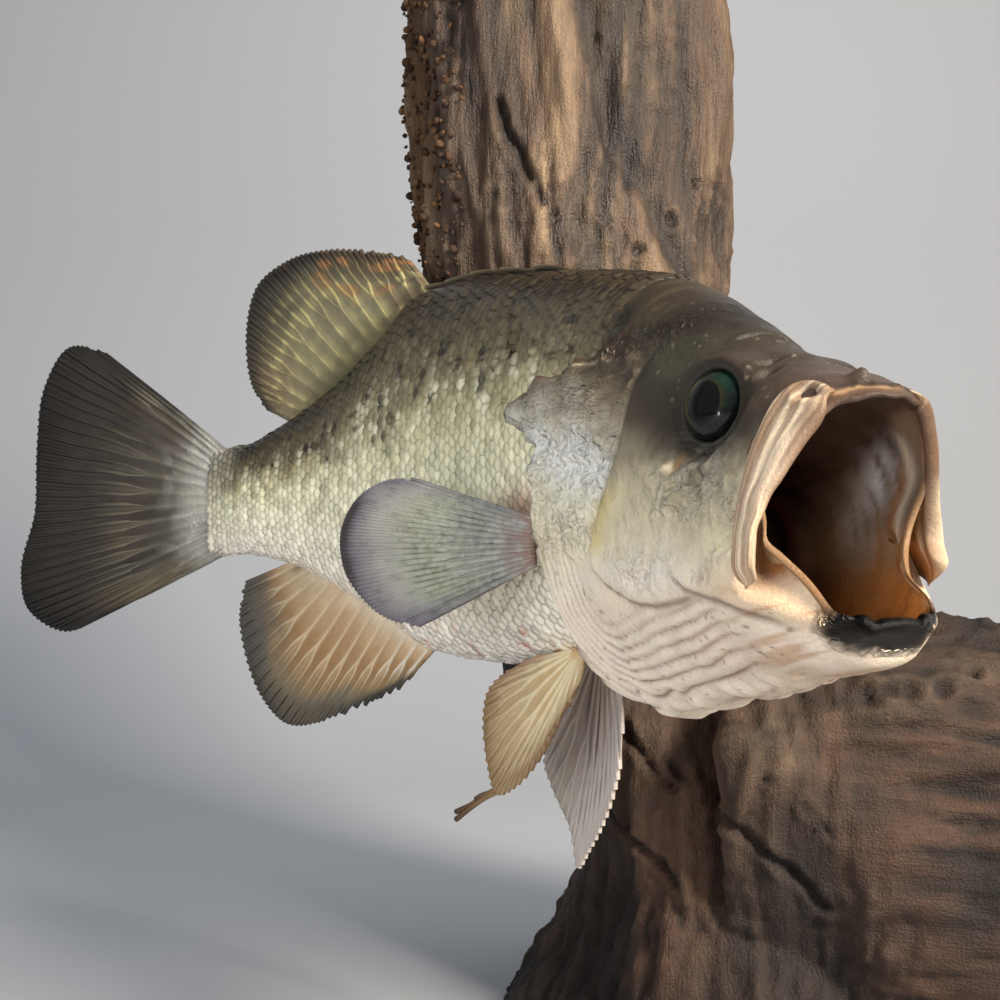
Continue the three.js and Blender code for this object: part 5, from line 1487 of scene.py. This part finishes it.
# %% Lay the scales
def lay_scales(sign):
    name = "scales_right" if sign > 0 else "scales_left"
    root_s, root_angle = scale_roots(sign)
    count = len(root_s)
    seeds = np.arange(count)
    chance = scatter(seeds, seeds * 0 + sign, seeds * 0, 401)
    chance2 = scatter(seeds, seeds * 0 + sign, seeds * 0 + 1, 402)
    here = in_frame(trunk_section(root_s, root_angle, SCALE_DEPTH - 0.12))
    tailward = in_frame(trunk_section(root_s + 1, root_angle)) - in_frame(trunk_section(root_s - 1, root_angle))
    round_way = in_frame(trunk_section(root_s, root_angle + 1)) - in_frame(trunk_section(root_s, root_angle - 1))
    flip = np.sign(np.einsum("ij,ij->i", np.cross(tailward, round_way), here - in_frame(
        np.stack([root_s, 0 * root_s, trunk_middle(root_s)], -1))))
    tailward /= np.linalg.norm(tailward, axis=1, keepdims=True)
    out = np.cross(tailward, round_way)
    out /= np.linalg.norm(out, axis=1, keepdims=True)
    out *= flip[:, None]
    tilt = 0.02 + 0.05 * chance
    tailward = tailward + out * tilt[:, None] + np.cross(out, tailward) * (0.10 * chance2)[:, None]
    tailward /= np.linalg.norm(tailward, axis=1, keepdims=True)
    sideways = np.cross(out, tailward)
    sideways /= np.linalg.norm(sideways, axis=1, keepdims=True)
    out = np.cross(tailward, sideways)
    lie = np.stack([np.arctan2(sideways[:, 2], out[:, 2]), -np.arcsin(np.clip(tailward[:, 2], -1, 1)),
                    np.arctan2(tailward[:, 1], tailward[:, 0])], -1)
    long = column_step(root_s) * 1.75 * (1 + 0.06 * chance)
    wide = row_height(root_s) * 1.2
    size = np.stack([long, wide, 0.9 + 0.1 * chance2], -1)
    source_mesh = bpy.data.meshes.new(name + "_roots")
    source_mesh.from_pydata(here * MM, [], [])
    source = bpy.data.objects.new(name + "_roots", source_mesh)
    bpy.context.scene.collection.objects.link(source)
    degrees_per_mm = 2 / np.linalg.norm(round_way, axis=1)
    root_place = np.stack([root_s, root_angle, chance], -1)
    spread = np.stack([long, wide * degrees_per_mm, chance2], -1)
    for key, value in (("lie", lie), ("size", size * MM), ("root_place", root_place), ("spread", spread)):
        kept = source_mesh.attributes.new(key, "FLOAT_VECTOR", "POINT")
        kept.data.foreach_set("vector", value.astype(np.float32).ravel())
    made = grow(name, source, scale_tree)
    mesh = made.data
    mesh.polygons.foreach_set("use_smooth", np.ones(len(mesh.polygons), bool))

    def read(key):
        values = np.empty(len(mesh.vertices) * 3, np.float32)
        mesh.attributes[key].data.foreach_get("vector", values)
        return values.reshape(-1, 3)

    corners = np.empty(len(mesh.loops), np.int32)
    mesh.loops.foreach_get("vertex_index", corners)
    tile_place, rooted, spread = read("tile"), read("root_place"), read("spread")
    unwrapped = np.stack([0.05 + 0.9 * rooted[:, 0] / FLESH_LENGTH, 0.5 + rooted[:, 1] / 640], -1)
    flat = (unwrapped + PATCH * (tile_place[:, :2] - [0.5, 0]))[corners]
    mesh.uv_layers.new(name="OFBake").data.foreach_set("uv", flat.astype(np.float32).ravel())
    tip = np.clip(tile_place[:, 0], 0, 1)
    side_way = tile_place[:, 1] * flip[0] * spread[:, 1]
    s, y, z = trunk_section(rooted[:, 0] + spread[:, 0] * tip, rooted[:, 1] + side_way).T
    paint = trunk_paint(s, y, z)
    # Painted shade and highlight: each scale is painted darker at its base, which lies under the scale before it, and
    # lighter towards its free edge, as if lit there; belly scales are darkened less.
    covered_base_shade = mix(0.76, 0.92, soft(-15, -40, z))
    paint *= (mix(covered_base_shade + 0.14, 1.3, tip**2) * (1 + 0.10 * rooted[:, 2]))[:, None]
    shine = (0.06 + 0.3 * soft(0.0, 0.8, spread[:, 2]) * soft(40, 0, z)) * soft(0.3, 0.9, tip)
    store_paint(made, paint, shine)
    for key in ("lie", "size", "root_place", "spread", "tile"):
        mesh.attributes.remove(mesh.attributes[key])
    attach(made, "root")
    print(name, "has", count, "scales and", len(mesh.polygons), "faces")
    return made


PATCH = 0.003
scale_coats = [lay_scales(sign) for sign in (1, -1)]

# %% [markdown]
# The driftwood is a weathered stump: an upright stem behind the fish and one thick root that runs forward and
# to the right, both sawn flat underneath. Two swollen tubes are melted into one body by a voxel remesh, which
# gives an even skin of small faces. That skin is then carved: broad hollows, furrows along the grain, drying
# cracks, worm holes, and a seat where the fish's far flank rests.

# %% The stem and the root, as in the solids
STEM_TOP, STEM_BREAK = 420, 16
ROOT_RUN, ROOT_HEADING, ROOT_DEPTH = 205, math.radians(-16), 1.5
ROOT_START = (0, 10)
WOOD_VOXEL = 1.8
stem_x = curve((0, 0), (60, 4), (110, -18), (160, -44), (215, -58), (260, -60), (340, -64), (420, -68))
stem_y = curve((0, 20), (60, 28), (130, 40), (200, 58), (260, 68), (340, 72), (420, 70))
stem_wide = curve((0, 92), (40, 72), (90, 62), (150, 62), (220, 66), (280, 66), (340, 68), (420, 66))
stem_deep = curve((0, 88), (40, 78), (100, 62), (160, 52), (240, 46), (420, 44))
root_middle = curve((0, 96), (60, 90), (120, 72), (170, 54), (205, 38))
root_high = curve((0, 60), (60, 64), (120, 71), (170, 62), (205, 30))
root_wide = curve((0, 66), (60, 66), (120, 62), (170, 50), (205, 24))


def stem_place(run, a, b):
    lean = STEM_BREAK * np.clip(run / STEM_TOP, 0, 1) ** 8 * (0.4 - 0.6 * a)
    return np.stack([stem_x(run) + stem_wide(run) * a, stem_y(run) + stem_deep(run) * b, run + lean], -1)


def root_place(run, a, b):
    along, across = np.cos(ROOT_HEADING), np.sin(ROOT_HEADING)
    high = np.where(b > 0, root_high(run), ROOT_DEPTH * root_middle(run))
    return np.stack([ROOT_START[0] + run * along - root_wide(run) * a * across,
                     ROOT_START[1] + run * across + root_wide(run) * a * along, root_middle(run) + high * b], -1)


def wood_loft(start, length, rings, knot_length, place_at, count=160):
    run = np.linspace(start, length, rings)[:, None]
    a = np.arange(count)[None, :] * 2 * np.pi / count
    knot = 1 + 0.05 * np.sin(3 * a + run / knot_length) + 0.03 * np.sin(7 * a - run / 26)
    return place_at(run, knot * np.cos(a), knot * np.sin(a))


shells = []
for net_mm, start, end in (
        (wood_loft(-15, STEM_TOP, 90, 46, stem_place), [0, 20, -15], [-68, 70, STEM_TOP + 5]),
        (wood_loft(0, ROOT_RUN, 60, 27, root_place), [0, 10, 96], [197, -46.5, 38])):
    shells.append(closed_net("wood_shell", net_mm, fin_material, start, end))
with bpy.context.temp_override(active_object=shells[0], selected_editable_objects=shells):
    bpy.ops.object.join()
melt = shells[0].modifiers.new("melt", "REMESH")
melt.mode = "VOXEL"
melt.voxel_size = WOOD_VOXEL * MM
graph = bpy.context.evaluated_depsgraph_get()
wood_mesh = bpy.data.meshes.new_from_object(shells[0].evaluated_get(graph), depsgraph=graph)
bpy.data.objects.remove(shells[0])
wood_mm = np.empty(len(wood_mesh.vertices) * 3, np.float32)
wood_mesh.vertices.foreach_get("co", wood_mm)
wood_mm = wood_mm.reshape(-1, 3).astype(float) / MM
wood_out = np.empty(len(wood_mesh.vertices) * 3, np.float32)
wood_mesh.vertex_normals.foreach_get("vector", wood_out)
wood_out = wood_out.reshape(-1, 3).astype(float)
print("melted wood:", len(wood_mesh.polygons), "faces")

# %% Cracks, holes and ridges of the wood, as places in the frame
SPLITS = [([(-95, 30, 362), (-92, 30, 351), (-86, 29, 340), (-80, 27, 327), (-77, 26, 320)], 1.7, 3.6),
          ([(-42, -26, 118), (-31, -25, 104), (-17, -54, 94), (2, -56, 79), (14, -57, 66)], 1.5, 3.4),
          ([(-52, -12, 88), (-49, -15, 83), (-42, -26, 77), (-35, -33, 71), (-24, -40, 58)], 1.5, 3.2),
          ([(-50, -16, 120), (-43, -21, 111), (-37, -25, 103), (-31, -27, 98)], 1.4, 3.0),
          ([(6, -60, 101), (22, -60, 84), (40, -62, 73)], 1.2, 1.8),
          ([(-6, -57, 109), (4, -58, 103), (10, -60, 92)], 1.0, 1.6)]
VALLEYS = [([(-60, 26, 400), (-47, 29, 345), (-35, 34, 327), (-25, 35, 307), (-18, 36, 293), (-14, 38, 270)], 6, 3.6),
           ([(-121, 47, 400), (-119, 45, 346), (-116, 45, 325), (-112, 43, 296), (-108, 40, 262)], 3, 1.8)]
RIDGES = [([(-60, -34, 120), (-3, -53, 119), (23, -53, 129), (50, -52, 136), (79, -39, 143), (120, -40, 140)], 10, 3),
          ([(-70, 26, 400), (-57, 27, 345), (-45, 31, 325), (-35, 33, 305), (-29, 33, 290)], 7, 2.2),
          ([(-1, -54, 119), (-13, -52, 121), (-7, -56, 112), (4, -57, 113)], 5, 2.4)]
HOLES = [((-13, 44, 332), 1.7), ((-23, 37, 316), 2.6), ((-38, 30, 302), 2.2), ((30, -51, 134), 3.2),
         ((36, -52, 136), 2.4), ((42, -52, 135), 3.4), ((54, -52, 136), 2.8), ((66, -46, 140), 2.2),
         ((-126, -10, 90), 2.5), ((60, 60, 120), 3), ((-60, 114, 240), 3.2), ((-40, 112, 150), 2.6)]


def distance_to(line, points):
    """How far points are from a drawn line in space."""
    line = np.array(line, float)
    best = np.full(len(points), np.inf)
    for start, end in zip(line[:-1], line[1:]):
        leg = end - start
        t = np.clip((points - start) @ leg / (leg @ leg), 0, 1)
        best = np.minimum(best, np.linalg.norm(points - start - t[:, None] * leg, axis=1))
    return best


def wood_fields(points):
    """For places on the wood: the share of the root, and places squeezed along the grain, for long patterns."""
    x, y, z = points.T
    bent = points + 5 * np.stack([noise(points, 45, 200 + k) for k in range(3)], -1)
    share = soft(-5, 55, x) * soft(185, 135, z)
    along = bent[:, 0] * np.cos(ROOT_HEADING) + bent[:, 1] * np.sin(ROOT_HEADING)
    across = bent[:, 1] * np.cos(ROOT_HEADING) - bent[:, 0] * np.sin(ROOT_HEADING)
    up_grain = np.stack([bent[:, 0], bent[:, 1], (bent[:, 2] + 0.5 * bent[:, 0]) / 8], -1)
    root_grain = np.stack([(along + 0.4 * bent[:, 2]) / 7, across, bent[:, 2]], -1)
    return share, up_grain, root_grain


def grained(kind, share, up_grain, root_grain, size, seed, octaves=2):
    return mix(kind(up_grain, size, seed, octaves), kind(root_grain, size, seed + 50, octaves), share)


# %% Carve the wood
fields = wood_fields(wood_mm)
carved = 3.2 * noise(wood_mm * [1, 1, 0.5], 48, 210, 2)
carved += 3.6 * (grained(creases, *fields, 11, 211, 3) - 0.5)
carved += 1.3 * grained(noise, *fields, 3.8, 212, 2)
wrinkles = bump((wood_mm[:, 0] + 62) / 30, 1) * bump((wood_mm[:, 2] - 318) / 34, 1)
carved += 1.6 * (creases(wood_mm, 7, 213, 3) - 0.4) * (soft(-0.3, 0.5, noise(wood_mm, 30, 214)) + wrinkles)
for line, width, depth in SPLITS:
    gap = distance_to(line, wood_mm) + 0.5 * noise(wood_mm, 5, 215)
    carved += 0.8 * bump(gap - 2.2 * width, width) - depth * bump(gap, width)
for line, width, depth in VALLEYS:
    carved -= depth * bump(distance_to(line, wood_mm) + 1.5 * noise(wood_mm, 12, 216), width)
for line, width, height in RIDGES:
    carved += height * bump(distance_to(line, wood_mm) + 2 * noise(wood_mm, 10, 217), width)
for centre, size in HOLES:
    gap = np.linalg.norm(wood_mm - centre, axis=1) + 0.8 * noise(wood_mm, 4, 218)
    carved += 1.2 * bump(gap - 1.8 * size, size * 0.6) - 4.0 * bump(gap, size)
splinters = soft(404, 418, wood_mm[:, 2])
carved *= 1 - 0.6 * splinters
wood_mm += wood_out * carved[:, None]
wood_mesh.attributes.new("carved", "FLOAT", "POINT").data.foreach_set("value", carved.astype(np.float32))
wood_mm[:, 2] += splinters * (7 * noise(wood_mm * [1, 1, 0.05], 7, 219, 2) + 5 * noise(wood_mm * [1, 0.4, 0], 24, 220))


# %% Seat the fish and saw the foot flat
def as_tree(made):
    return BVHTree.FromPolygons([v.co / MM for v in made.data.vertices],
                                [tuple(p.vertices) for p in made.data.polygons])


fish_tree = as_tree(skin)
FISH_REACH = 26
low, high = np.array(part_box("trunk")) / MM
close = np.nonzero(((wood_mm > low - 5) & (wood_mm < high + 5)).all(axis=1))[0]
for i in close:
    found = fish_tree.find_nearest(Vector(wood_mm[i]), FISH_REACH)
    if found[0] is not None and (Vector(wood_mm[i]) - found[0]).dot(found[1]) < 0.3:
        wood_mm[i] = found[0] + found[1] * 0.3
wood_mesh.vertices.foreach_set("co", (wood_mm * MM).astype(np.float32).ravel())
sawn = bmesh.new()
sawn.from_mesh(wood_mesh)
bmesh.ops.bisect_plane(sawn, geom=sawn.verts[:] + sawn.edges[:] + sawn.faces[:], plane_co=(0, 0, 0),
                       plane_no=(0, 0, -1), clear_outer=True)
bmesh.ops.holes_fill(sawn, edges=[edge for edge in sawn.edges if edge.is_boundary], sides=0)
bmesh.ops.triangulate(sawn, faces=[face for face in sawn.faces if len(face.verts) > 4])
sawn.to_mesh(wood_mesh)
sawn.free()
print("sawn wood:", len(wood_mesh.polygons), "faces;", len(close), "places near the fish")

# %% [markdown]
# Waterworn wood that was waxed once: golden brown and glossy high on the stem, grey-brown and dull lower down,
# nearly black where moss has rotted it and in the fish's shadow painted on the root, reddish where the fibres
# are fresh. The big patches of colour are painted onto the mesh; the fine grain, about 1.5 mm wide, is noise
# stretched along the stem or the root.

# %% Wood colours
def wood_colours(points, carved):
    """Linear colours and how waxed the surface is, for places on the wood in millimetres and how far they
    stand out; hollows are painted darker, as shade, and raised parts lighter."""
    x, y, z = points.T
    fields = wood_fields(points)
    broad, patch = noise(points * [1, 1, 0.6], 34, 230, 2), noise(points, 13, 231, 2)
    grain = grained(noise, *fields, 5, 232, 3)
    high = soft(205, 265, z)
    paint = graded(broad + 0.6 * grain, (-0.9, "22160f"), (-0.3, "36261c"), (0.3, "4d3728"), (0.9, "664936"))
    reddish = soft(0, 60, x) * soft(140, 60, z)
    paint = layer(paint, "5a3d2d", 0.6 * reddish * soft(-0.4, 0.5, patch))
    paint = layer(paint, "2b2622", 0.75 * soft(-20, -70, x - 0.25 * z + 35) * (1 - high))
    golden = graded(broad + 0.7 * grain, (-0.9, "3a2a1e"), (-0.3, "5c4633"), (0.2, "7c634a"), (0.8, "a38866"))
    golden = layer(golden, "55402e", 0.65 * soft(-48, -20, x + 0.32 * (z - 345)))
    golden = layer(golden, "5d4c3e", 0.7 * soft(-104, -114, x))
    paint = mix(paint, golden, high[:, None])
    # Dark patches along the root ridge below the fish's head: moss by the holes there, and the painted shadow of the
    # fish.
    moss_and_fish_shadow = bump((distance_to(RIDGES[0][0], points) - 2) / 13, 1) * soft(0, 30, x) * soft(-0.3, 0.5, patch)
    paint = layer(paint, "1f1a12", 0.8 * moss_and_fish_shadow)
    rot = soft(-112, -124, x) * soft(40, 56, y) * soft(240, 275, z)
    paint = layer(paint, "5a3e25", 0.8 * rot)
    # Painted shade: the two grooves down the stem are darkened.
    valley = bump(distance_to(VALLEYS[0][0], points), 7)
    paint = layer(paint, "33261b", 0.7 * valley)
    paint = layer(paint, "4a3a2e", 0.5 * bump(distance_to(VALLEYS[1][0], points), 3.5))
    # Painted shade: the splits are painted near black; the holes are too, partly painted shade and partly the moss in
    # them.
    for line, width, _ in SPLITS:
        paint = layer(paint, "120d09", 0.92 * bump(distance_to(line, points), 1.1 * width))
    for centre, size in HOLES:
        paint = layer(paint, "150f0a", 0.9 * bump(np.linalg.norm(points - centre, axis=1), 1.3 * size))
    # Painted shade: the lower a place lies in the carving, the darker it is painted; raised parts are painted lighter.
    paint = layer(paint, "1a120c", 0.85 * soft(0.6, -3.4, carved + 0.8 * grain))
    paint = layer(paint, "a58c6c", 0.35 * soft(1.2, 4.2, carved) * (0.4 + 0.6 * high))
    pale = bump(distance_to(RIDGES[1][0], points), 8) + bump(distance_to(RIDGES[2][0], points), 7)
    paint = layer(paint, "8d755a", 0.45 * pale * soft(-0.3, 0.5, grain))
    paint = layer(paint, "4b5f86", 0.8 * bump(np.linalg.norm(points - [-40, -25, 95], axis=1), 2.4))
    waxed = 0.25 + 0.5 * high + 0.35 * bump(distance_to([(-70, 24, 321), (-58, 25, 313)], points), 26)
    return paint * mix(0.45, 0.7, high)[:, None], waxed * (1 - 0.8 * moss_and_fish_shadow) * (1 - 0.8 * rot)


wood_material, tree, shader, coordinates = new_material("weathered driftwood, waxed")
paint_in = add(tree, "ShaderNodeAttribute", attribute_name="paint").outputs["Color"]
wax_in = add(tree, "ShaderNodeAttribute", attribute_name="silver").outputs["Fac"]
root_in = add(tree, "ShaderNodeAttribute", attribute_name="root").outputs["Fac"]
GRAIN = 1 / (1.5 * MM)
up = add(tree, "ShaderNodeMapping", {"Vector": coordinates, "Scale": (GRAIN, GRAIN, GRAIN / 9)})
turned = add(tree, "ShaderNodeMapping", {"Vector": coordinates, "Rotation": (0, 0, -ROOT_HEADING),
                                         "Scale": (GRAIN, GRAIN, GRAIN)})
flat = add(tree, "ShaderNodeMapping", {"Vector": turned.outputs[0], "Scale": (1 / 8, 1, 1)})
up_grain = add(tree, "ShaderNodeTexNoise", {"Vector": up.outputs[0], "Scale": 1.0, "Detail": 6, "Roughness": 0.62,
                                            "Distortion": 0.7})
root_grain = add(tree, "ShaderNodeTexNoise", {"Vector": flat.outputs[0], "Scale": 1.0, "Detail": 6,
                                              "Roughness": 0.62, "Distortion": 0.7})
grain = add(tree, "ShaderNodeMix", {"Factor": root_in, "A": up_grain.outputs["Fac"],
                                    "B": root_grain.outputs["Fac"]}, data_type="FLOAT").outputs[0]
pores = add(tree, "ShaderNodeTexNoise", {"Vector": coordinates, "Scale": 1 / (0.9 * MM), "Detail": 3})
tone = add(tree, "ShaderNodeMath", {0: grain, 1: 1.5, 2: 0.25}, operation="MULTIPLY_ADD")
speck = add(tree, "ShaderNodeMath", {0: pores.outputs["Fac"], 1: 0.5, 2: 0.75}, operation="MULTIPLY_ADD")
both = add(tree, "ShaderNodeMath", {0: tone.outputs[0], 1: speck.outputs[0]}, operation="MULTIPLY")
tinted = add(tree, "ShaderNodeVectorMath", {0: paint_in, "Scale": both.outputs[0]}, operation="SCALE")
tree.links.new(tinted.outputs[0], shader.inputs["Base Color"])
dull = add(tree, "ShaderNodeMath", {0: wax_in, 1: -0.42, 2: 0.72}, operation="MULTIPLY_ADD")
rough = add(tree, "ShaderNodeMath", {0: grain, 1: 0.25, 2: dull.outputs[0]}, operation="MULTIPLY_ADD")
tree.links.new(rough.outputs[0], shader.inputs["Roughness"])
shader.inputs["IOR"].default_value = 1.5
height = add(tree, "ShaderNodeMath", {0: grain, 1: 1.4, 2: pores.outputs["Fac"]}, operation="MULTIPLY_ADD")
raised = add(tree, "ShaderNodeBump", {"Height": height.outputs[0], "Distance": 0.7 * MM, "Strength": 0.9})
tree.links.new(raised.outputs[0], shader.inputs["Normal"])

# %% Make the driftwood
wood_mesh.materials.clear()
wood_mesh.materials.append(wood_material)
wood_mesh.polygons.foreach_set("use_smooth", np.ones(len(wood_mesh.polygons), bool))
wood_mesh.name = "driftwood_log"
wood = bpy.data.objects.new("driftwood_log", wood_mesh)
bpy.context.scene.collection.objects.link(wood)
final_mm = np.empty(len(wood_mesh.vertices) * 3, np.float32)
wood_mesh.vertices.foreach_get("co", final_mm)
final_mm = final_mm.reshape(-1, 3).astype(float) / MM
height_kept = np.empty(len(wood_mesh.vertices), np.float32)
wood_mesh.attributes["carved"].data.foreach_get("value", height_kept)
wood_mesh.attributes.remove(wood_mesh.attributes["carved"])
wood_paint, waxed = wood_colours(final_mm, height_kept.astype(float))
store_paint(wood, wood_paint, waxed)
root_share = wood_mesh.attributes.new("root", "FLOAT", "POINT")
root_share.data.foreach_set("value", wood_fields(final_mm)[0].astype(np.float32))
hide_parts("driftwood")
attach(wood, "root")
print("driftwood:", sum(len(p.vertices) - 2 for p in wood_mesh.polygons), "triangles")

# %% [markdown]
# Along the rear left edge of the stem the wood is rotten and crumbles: lumps of 1 to 4 mm cling to it. Geometry
# Nodes dent a small ball and set it on a few hundred places of that edge, each turned and sized at random.

# %% Rotten crumbs
crumb_tree, crumb_inputs = node_group("crumbs", Dents=0.35)
ball = add(crumb_tree, "GeometryNodeMeshIcoSphere", {"Radius": 0.5, "Subdivisions": 2}).outputs[0]
ball_place = add(crumb_tree, "GeometryNodeInputPosition").outputs[0]
dent = add(crumb_tree, "ShaderNodeTexNoise", {"Vector": ball_place, "Scale": 2.6, "Detail": 2})
dent_size = add(crumb_tree, "ShaderNodeMath", {0: dent.outputs["Fac"], 1: crumb_inputs["Dents"], 2: 0.7},
                operation="MULTIPLY_ADD")
dented_place = add(crumb_tree, "ShaderNodeVectorMath", {0: ball_place, "Scale": dent_size.outputs[0]},
                   operation="SCALE")
dented = add(crumb_tree, "GeometryNodeSetPosition", {"Geometry": ball, "Position": dented_place.outputs[0]})
crumb_points = add(crumb_tree, "GeometryNodeMeshToPoints", {"Mesh": crumb_inputs["Geometry"]}).outputs[0]
crumbs_laid = add(crumb_tree, "GeometryNodeInstanceOnPoints", {
    "Points": crumb_points, "Instance": dented.outputs[0],
    "Rotation": stored(crumb_tree, "lie", "FLOAT_VECTOR"), "Scale": stored(crumb_tree, "size", "FLOAT_VECTOR")})
finish_tree(crumb_tree, crumbs_laid.outputs[0], wood_material)

CRUMB_COUNT = 620
x, y, z = final_mm.T
edge_places = np.nonzero((x < -108 + 4 * noise(final_mm, 16, 241)) & (y > 22) & (y < 96) & (z > 236) & (z < 414))[0]
picked = edge_places[(np.abs(scatter(np.arange(CRUMB_COUNT), 3, 5, 242)) * (len(edge_places) - 1)).astype(int)]
crumb_mm = final_mm[picked]
chances = [scatter(np.arange(CRUMB_COUNT), k, 7, 243) for k in range(6)]
crumb_mm = crumb_mm + np.stack(chances[:3], -1) * [1.2, 1.2, 1.2] + [-0.8, -0.4, 0]
crumb_size = (1.4 + 3.0 * np.abs(chances[3]) ** 3)[:, None] * np.stack(
    [1 + 0.3 * chances[4], 1 + 0.3 * chances[5], 1.2 + 0.5 * chances[0]], -1)
crumb_mesh = bpy.data.meshes.new("crumb_places")
crumb_mesh.from_pydata(crumb_mm * MM, [], [])
crumb_source = bpy.data.objects.new("crumb_places", crumb_mesh)
bpy.context.scene.collection.objects.link(crumb_source)
crumb_tone = graded(chances[2], (-1, "2a1b11"), (0, "49321f"), (1, "6e4e30"))
store_paint(crumb_source, crumb_tone, np.zeros(CRUMB_COUNT))
for key, value in (("lie", np.stack(chances[3:], -1) * 3), ("size", crumb_size * MM)):
    kept = crumb_mesh.attributes.new(key, "FLOAT_VECTOR", "POINT")
    kept.data.foreach_set("vector", value.astype(np.float32).ravel())
crumbs = grow("rotten_crumbs", crumb_source, crumb_tree)
crumbs.data.polygons.foreach_set("use_smooth", np.ones(len(crumbs.data.polygons), bool))
for key in ("lie", "size"):
    crumbs.data.attributes.remove(crumbs.data.attributes[key])
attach(crumbs, "root")
print("crumbs:", len(crumbs.data.polygons), "faces")
# %% [markdown]
# The setting is a plain pale studio: a floor that sweeps up into a wall, a broad soft light from the right
# of the camera, a weaker one from the left, and an even pale sky.

# %% Floor and wall
def plain_paint(name, hex_colour):
    material, tree, shader, coordinates = new_material(name)
    shader.inputs["Base Color"].default_value = rgba(hex_colour)
    shader.inputs["Roughness"].default_value = 0.8
    return material


SWEEP_RADIUS = 0.5
WALL_DISTANCE = 0.9
sweep = [(-2.5, 0)] + [(WALL_DISTANCE - SWEEP_RADIUS + SWEEP_RADIUS * math.sin(t),
                        SWEEP_RADIUS - SWEEP_RADIUS * math.cos(t))
                       for t in np.linspace(0, math.pi / 2, 17)] + [(WALL_DISTANCE, 3)]
stage_points = [(x / MM, y / MM, z / MM) for y, z in sweep for x in (-4, 4)]
stage_faces = [(2 * i, 2 * i + 1, 2 * i + 3, 2 * i + 2) for i in range(len(sweep) - 1)]
floor = mesh_object("floor", stage_points, stage_faces, plain_paint("matt studio paint", "9a9da1"))


# %% Lights
def soft_light(name, place, target, size, watts, hex_colour, shiny=True):
    lamp = bpy.data.lights.new(name, "AREA")
    lamp.shape = "RECTANGLE"
    lamp.size, lamp.size_y = size
    lamp.energy = watts
    lamp.color = to_linear(hex_colour)
    made = bpy.data.objects.new(name, lamp)
    made.location = place
    aim = Vector(target) - Vector(place)
    made.rotation_euler = aim.to_track_quat("-Z", "Y").to_euler()
    made.visible_glossy = shiny
    bpy.context.scene.collection.objects.link(made)


FISH_MIDDLE = (-0.06, -0.03, 0.2)
soft_light("window light", (0.72, -0.80, 0.80), FISH_MIDDLE, (0.35, 0.45), 39, "fff3e4")
soft_light("room light", (-0.9, -1.0, 0.5), FISH_MIDDLE, (0.8, 0.8), 10.5, "eef2ff", shiny=False)
soft_light("top light", (0.1, 0.1, 1.3), FISH_MIDDLE, (0.6, 0.6), 7.5, "ffffff", shiny=False)
soft_light("small lamp", (-0.72, -0.92, 0.06), FISH_MIDDLE, (0.1, 0.16), 0.7, "ffffff")
world = bpy.data.worlds.new("even sky")
world.use_nodes = True
world.node_tree.nodes["Background"].inputs["Color"].default_value = rgba("e9edf2")
world.node_tree.nodes["Background"].inputs["Strength"].default_value = 0.27
bpy.context.scene.world = world
bpy.context.scene.view_settings.view_transform = "Standard"
